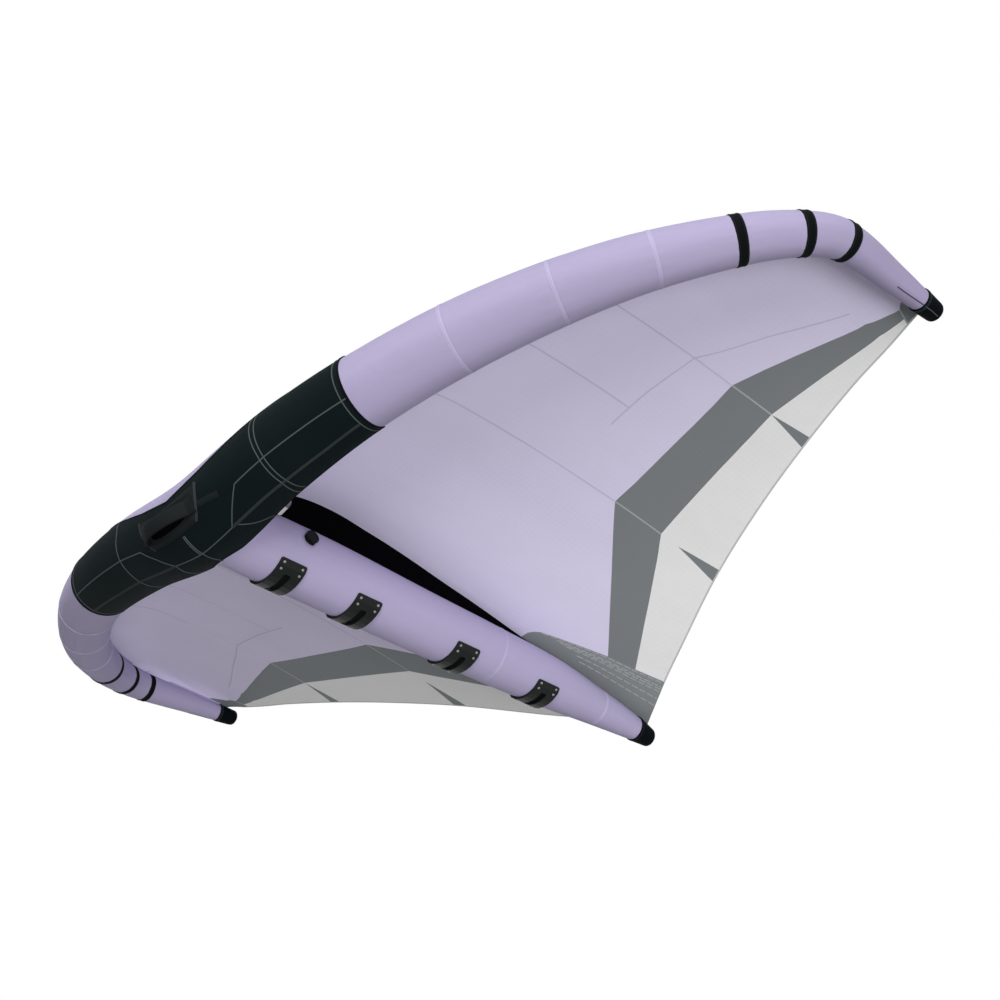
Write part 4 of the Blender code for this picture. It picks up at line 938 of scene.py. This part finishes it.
mesh = bmesh.new()
layer = mesh.loops.layers.uv.verify()
for side in (-1, 1):
    grid = []
    for line, kind in ribs:
        front, rear = strip_bands if kind == "strip" else band_shares(line)
        row = [front * c for c in main_columns] + [front + (rear - front) * c for c in band_columns]
        row += [rear + (1 - rear) * c for c in trail_columns]
        grid.append([mesh.verts.new(canopy_point(side * max(line(at), MIDDLE), at)) for at in row])
    for (_, kind), inner, outer in zip(ribs, grid, grid[1:]):
        for j in range(len(inner) - 1):
            corners = [inner[j], inner[j + 1], outer[j + 1], outer[j]]
            closed_front = (inner[j].co - outer[j].co).length < CLOSED
            closed_rear = (inner[j + 1].co - outer[j + 1].co).length < CLOSED
            if closed_front and closed_rear:
                continue
            if closed_front or closed_rear:
                corners.pop(3 if closed_front else 2)
            face = mesh.faces.new(corners if side > 0 else corners[::-1])
            face.material_index = cloth_at(kind, j)
            for loop in face.loops:
                loop[layer].uv = loop.vert.co.xy
bmesh.ops.remove_doubles(mesh, verts=mesh.verts, dist=MERGED)
bmesh.ops.recalc_face_normals(mesh, faces=mesh.faces)
canopy_area = sum(face.calc_area() for face in mesh.faces)
thirds = [f"canopy_{kind}_{part}" for kind in ("band", "trail") for part in ("inner", "middle", "outer")]
panels = [f"{name}_{word}" for _, word in BOTH for name in (
    "canopy_main", *thirds, "canopy_wedge_inner", "canopy_wedge_middle", "tip_patch", "strut_strip")]
canopy = add("canopy_sheet", mesh, CLOTHS, "lilac_cloth", *panels, angle=60)


def canopy_ridge_into(mesh, spots, width, thickness=0.0006, dash=None, ends=True):
    """Bars through edge and chord shares, standing out on both faces of the cloth."""
    spots = [(share * HALF, at) for share, at in spots]
    corners = ((1, thickness), (-1, thickness), (-1, -thickness), (1, -thickness))
    points, ups = [[at(*spot) for spot in spots] for at in (canopy_point, canopy_up)]
    bars_into(mesh, points, ups, width, corners, dash, 4, ends)


def canopy_line_into(mesh, table, width, thickness=0.0006, dash=None, step=0.004):
    """The same through the even readings of a table."""
    canopy_ridge_into(mesh, along_table(table, step, 0.8), width, thickness, dash)


seams = ridges("canopy_seams", "seam_line", "lilac_cloth", mirrored(
    ring(INNER_RIB, 0.02, 0.68), [(0.395, 0.02), (0.39, 0.54)], [(0.508, 0.02), (OUTER_RIB, 0.696)],
    [(0.355, 0.54), (0.42, 0.54), (0.5, 0.55), (0.534, 0.585), (0.6, 0.641), (0.668, 0.708), (0.71, 0.75)]),
    0.005, 0.0005, line_into=canopy_line_into)
mesh = bmesh.new()
for side in (-1, 1):
    for share, low, high in ((INNER_RIB, 0.682, 0.823), (OUTER_RIB, 0.698, 0.855)):
        canopy_line_into(mesh, ring(side * share, low, high), 0.0045)
    canopy_line_into(mesh, [(side * between(PATCH_SIDE, at), at) for at in (0.86, 0.92, 0.996)], 0.004)
band_seams = add("canopy_band_seams", mesh, "pale_thread", "dark_cloth")

# Share of the strip's width between its outer edge and a line, and the chord share where the line starts
strip_lines = ((0.04, 0.7), (0.13, 0.735), (0.18, 0.745), (0.24, 0.76), (0.39, 0.79), (0.55, 0.8))
tables = [[(strip_edge(at) * (1 - inwards) / HALF, at) for at in spread(begin, 0.997, 0.012)]
          for inwards, begin in strip_lines]
strip_stitch = ridges("strip_stitch", "pale_thread", "grey_cloth", mirrored(*tables), 0.003, 0.0007, (3, 1),
                      line_into=canopy_line_into)
table = [(share, 0.9985) for share in spread(STRIP_WIDTH / HALF, CANOPY_END, 0.012)]
hem = ridges("trailing_hem", "hem_cloth", "pale_cloth", mirrored(table), 0.0056, 0.0006, None, False,
             line_into=canopy_ridge_into)
nose_join = ridges("canopy_nose_join", "seam_tape", "lilac_cloth", mirrored(
    [(0.0001, 0.004), (CAP_START, 0.004)]), 0.012, 0.0007, None, 0.012, line_into=canopy_line_into)


# Web between strut and canopy

WEB_BACK, WEB_WAVE, WEB_WAVES = 0.948, 0.0016, 9
top = SIDES // 4
web_front = max(p.y for p in joint[top - 1:top + 2]) + 0.001
heights = [(p.y, p.z) for p in (canopy_point(MIDDLE, at) for at in spread(0, 1, 1 / 120))]
rows = []
for y in spread(web_front, strut_y(WEB_BACK), 0.02):
    low = on_strut(y, pi / 2).z
    if y <= start_y:
        low = max(joint[top].z, low)
    rise = max(between(heights, y) - 0.001 - low, 0.001)
    rows.append([Vector((WEB_WAVE * sin(y * WEB_WAVES) * sin(pi * t), y, low + rise * t))
                 for t in spread(0, 1, 1 / 8)])
mesh = bmesh.new()
grid_into(mesh, rows, lambda r, c: (rows[r][c].y, rows[r][c].z))
web_area = sum(face.calc_area() for face in mesh.faces)
web = add("strut_web_cloth", mesh, "web_cloth", "black_cloth", "strut_web")


# Valve surround, and better materials for the solids that stay

VALVE_Y, VALVE_TURN = 0.0545, pi / 16
reach = strut_at(VALVE_Y - NOSE.y)[1] * ROUND
rings = [[on_strut(VALVE_Y + radius * sin(a), VALVE_TURN + radius * cos(a) / reach, lift)
          for a in round_turns(48)]
         for radius, lift in ((0.0195, 0.0006), (0.02, 0.001), (0.036, 0.0009), (0.039, 0.0006), (0.041, 0))]
gridded("valve_surround", rings, even(0.008, 0.005), "tube_cloth", "lilac_cloth", closed=True)

for look, names in {"plate_plastic": [f"handle_plate_{number}" for number in range(1, 5)],
                    "valve_plastic": ["valve_base", "valve_cap"], "seal_rubber": ["valve_seal", "valve_disc"],
                    "grey_plastic": ["valve_insert"],
                    "film": ["edge_bladder", "strut_bladder", "transfer_hose"]}.items():
    for name in names:
        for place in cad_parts[name].material_slots:
            place.material = looks[look]


# Floor, light and camera

# The world is soft and dim on the wing, and white where the camera or a gloss sees it
SOFT_LIGHT = 0.04
# Directions towards each sun, with its strength and its width in radians
SUNS = {"top": (Vector((0.19, -0.64, 0.7)), 2.15, 0.5), "front": (Vector((0.72, -0.66, -0.14)), 1.56, 0.5),
        "low": (Vector((0.74, -0.18, -0.56)), 1.56, 0.5)}
# The camera that was fitted to the photo: its place, and its right, up and back
CAMERA_AT = (3.2201, -1.9276, -2.2806)
RIGHT, UP = Vector((0.66517, 0.74594, 0.03338)), Vector((0.40954, -0.40185, 0.81902))
BACK = Vector((0.62436, -0.53112, -0.57279))

bpy.ops.mesh.primitive_plane_add(size=10, location=(0, 0.5, -5.5))
floor = bpy.context.object
floor.name = "floor"
floor.data.materials.append(looks["floor"])
floor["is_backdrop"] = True

world = bpy.data.worlds.new("studio")
scene.world = world
world.use_nodes = True
tree = world.node_tree
tree.nodes.clear()
path = tree.nodes.new("ShaderNodeLightPath")
seen = tree.nodes.new("ShaderNodeMath")
seen.operation = "MAXIMUM"
mix, out = tree.nodes.new("ShaderNodeMixShader"), tree.nodes.new("ShaderNodeOutputWorld")
for k, ray in enumerate(("Is Camera Ray", "Is Glossy Ray")):
    tree.links.new(path.outputs[ray], seen.inputs[k])
tree.links.new(seen.outputs[0], mix.inputs["Fac"])
for k, (colour, strength) in enumerate((((0.96, 0.97, 1.0, 1), SOFT_LIGHT), ((1, 1, 1, 1), 1.0)), 1):
    background = tree.nodes.new("ShaderNodeBackground")
    background.inputs["Color"].default_value = colour
    background.inputs["Strength"].default_value = strength
    tree.links.new(background.outputs[0], mix.inputs[k])
tree.links.new(mix.outputs[0], out.inputs["Surface"])

for name, (direction, strength, width) in SUNS.items():
    data = bpy.data.lights.new(name, "SUN")
    data.energy, data.angle = strength, width
    made = bpy.data.objects.new(name, data)
    made.rotation_mode = "QUATERNION"
    made.rotation_quaternion = direction.normalized().to_track_quat("Z", "Y")
    scene.collection.objects.link(made)

camera = bpy.data.objects.new("camera", bpy.data.cameras.new("camera"))
scene.collection.objects.link(camera)
camera.data.lens = 57.6
camera.data.sensor_width = 36.0
camera.data.clip_start = 0.1
camera.data.clip_end = 200.0
camera.matrix_world = Matrix.Translation(CAMERA_AT) @ Matrix((RIGHT, UP, BACK)).transposed().to_4x4()
scene.camera = camera
scene.view_settings.view_transform = "Standard"

low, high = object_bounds()
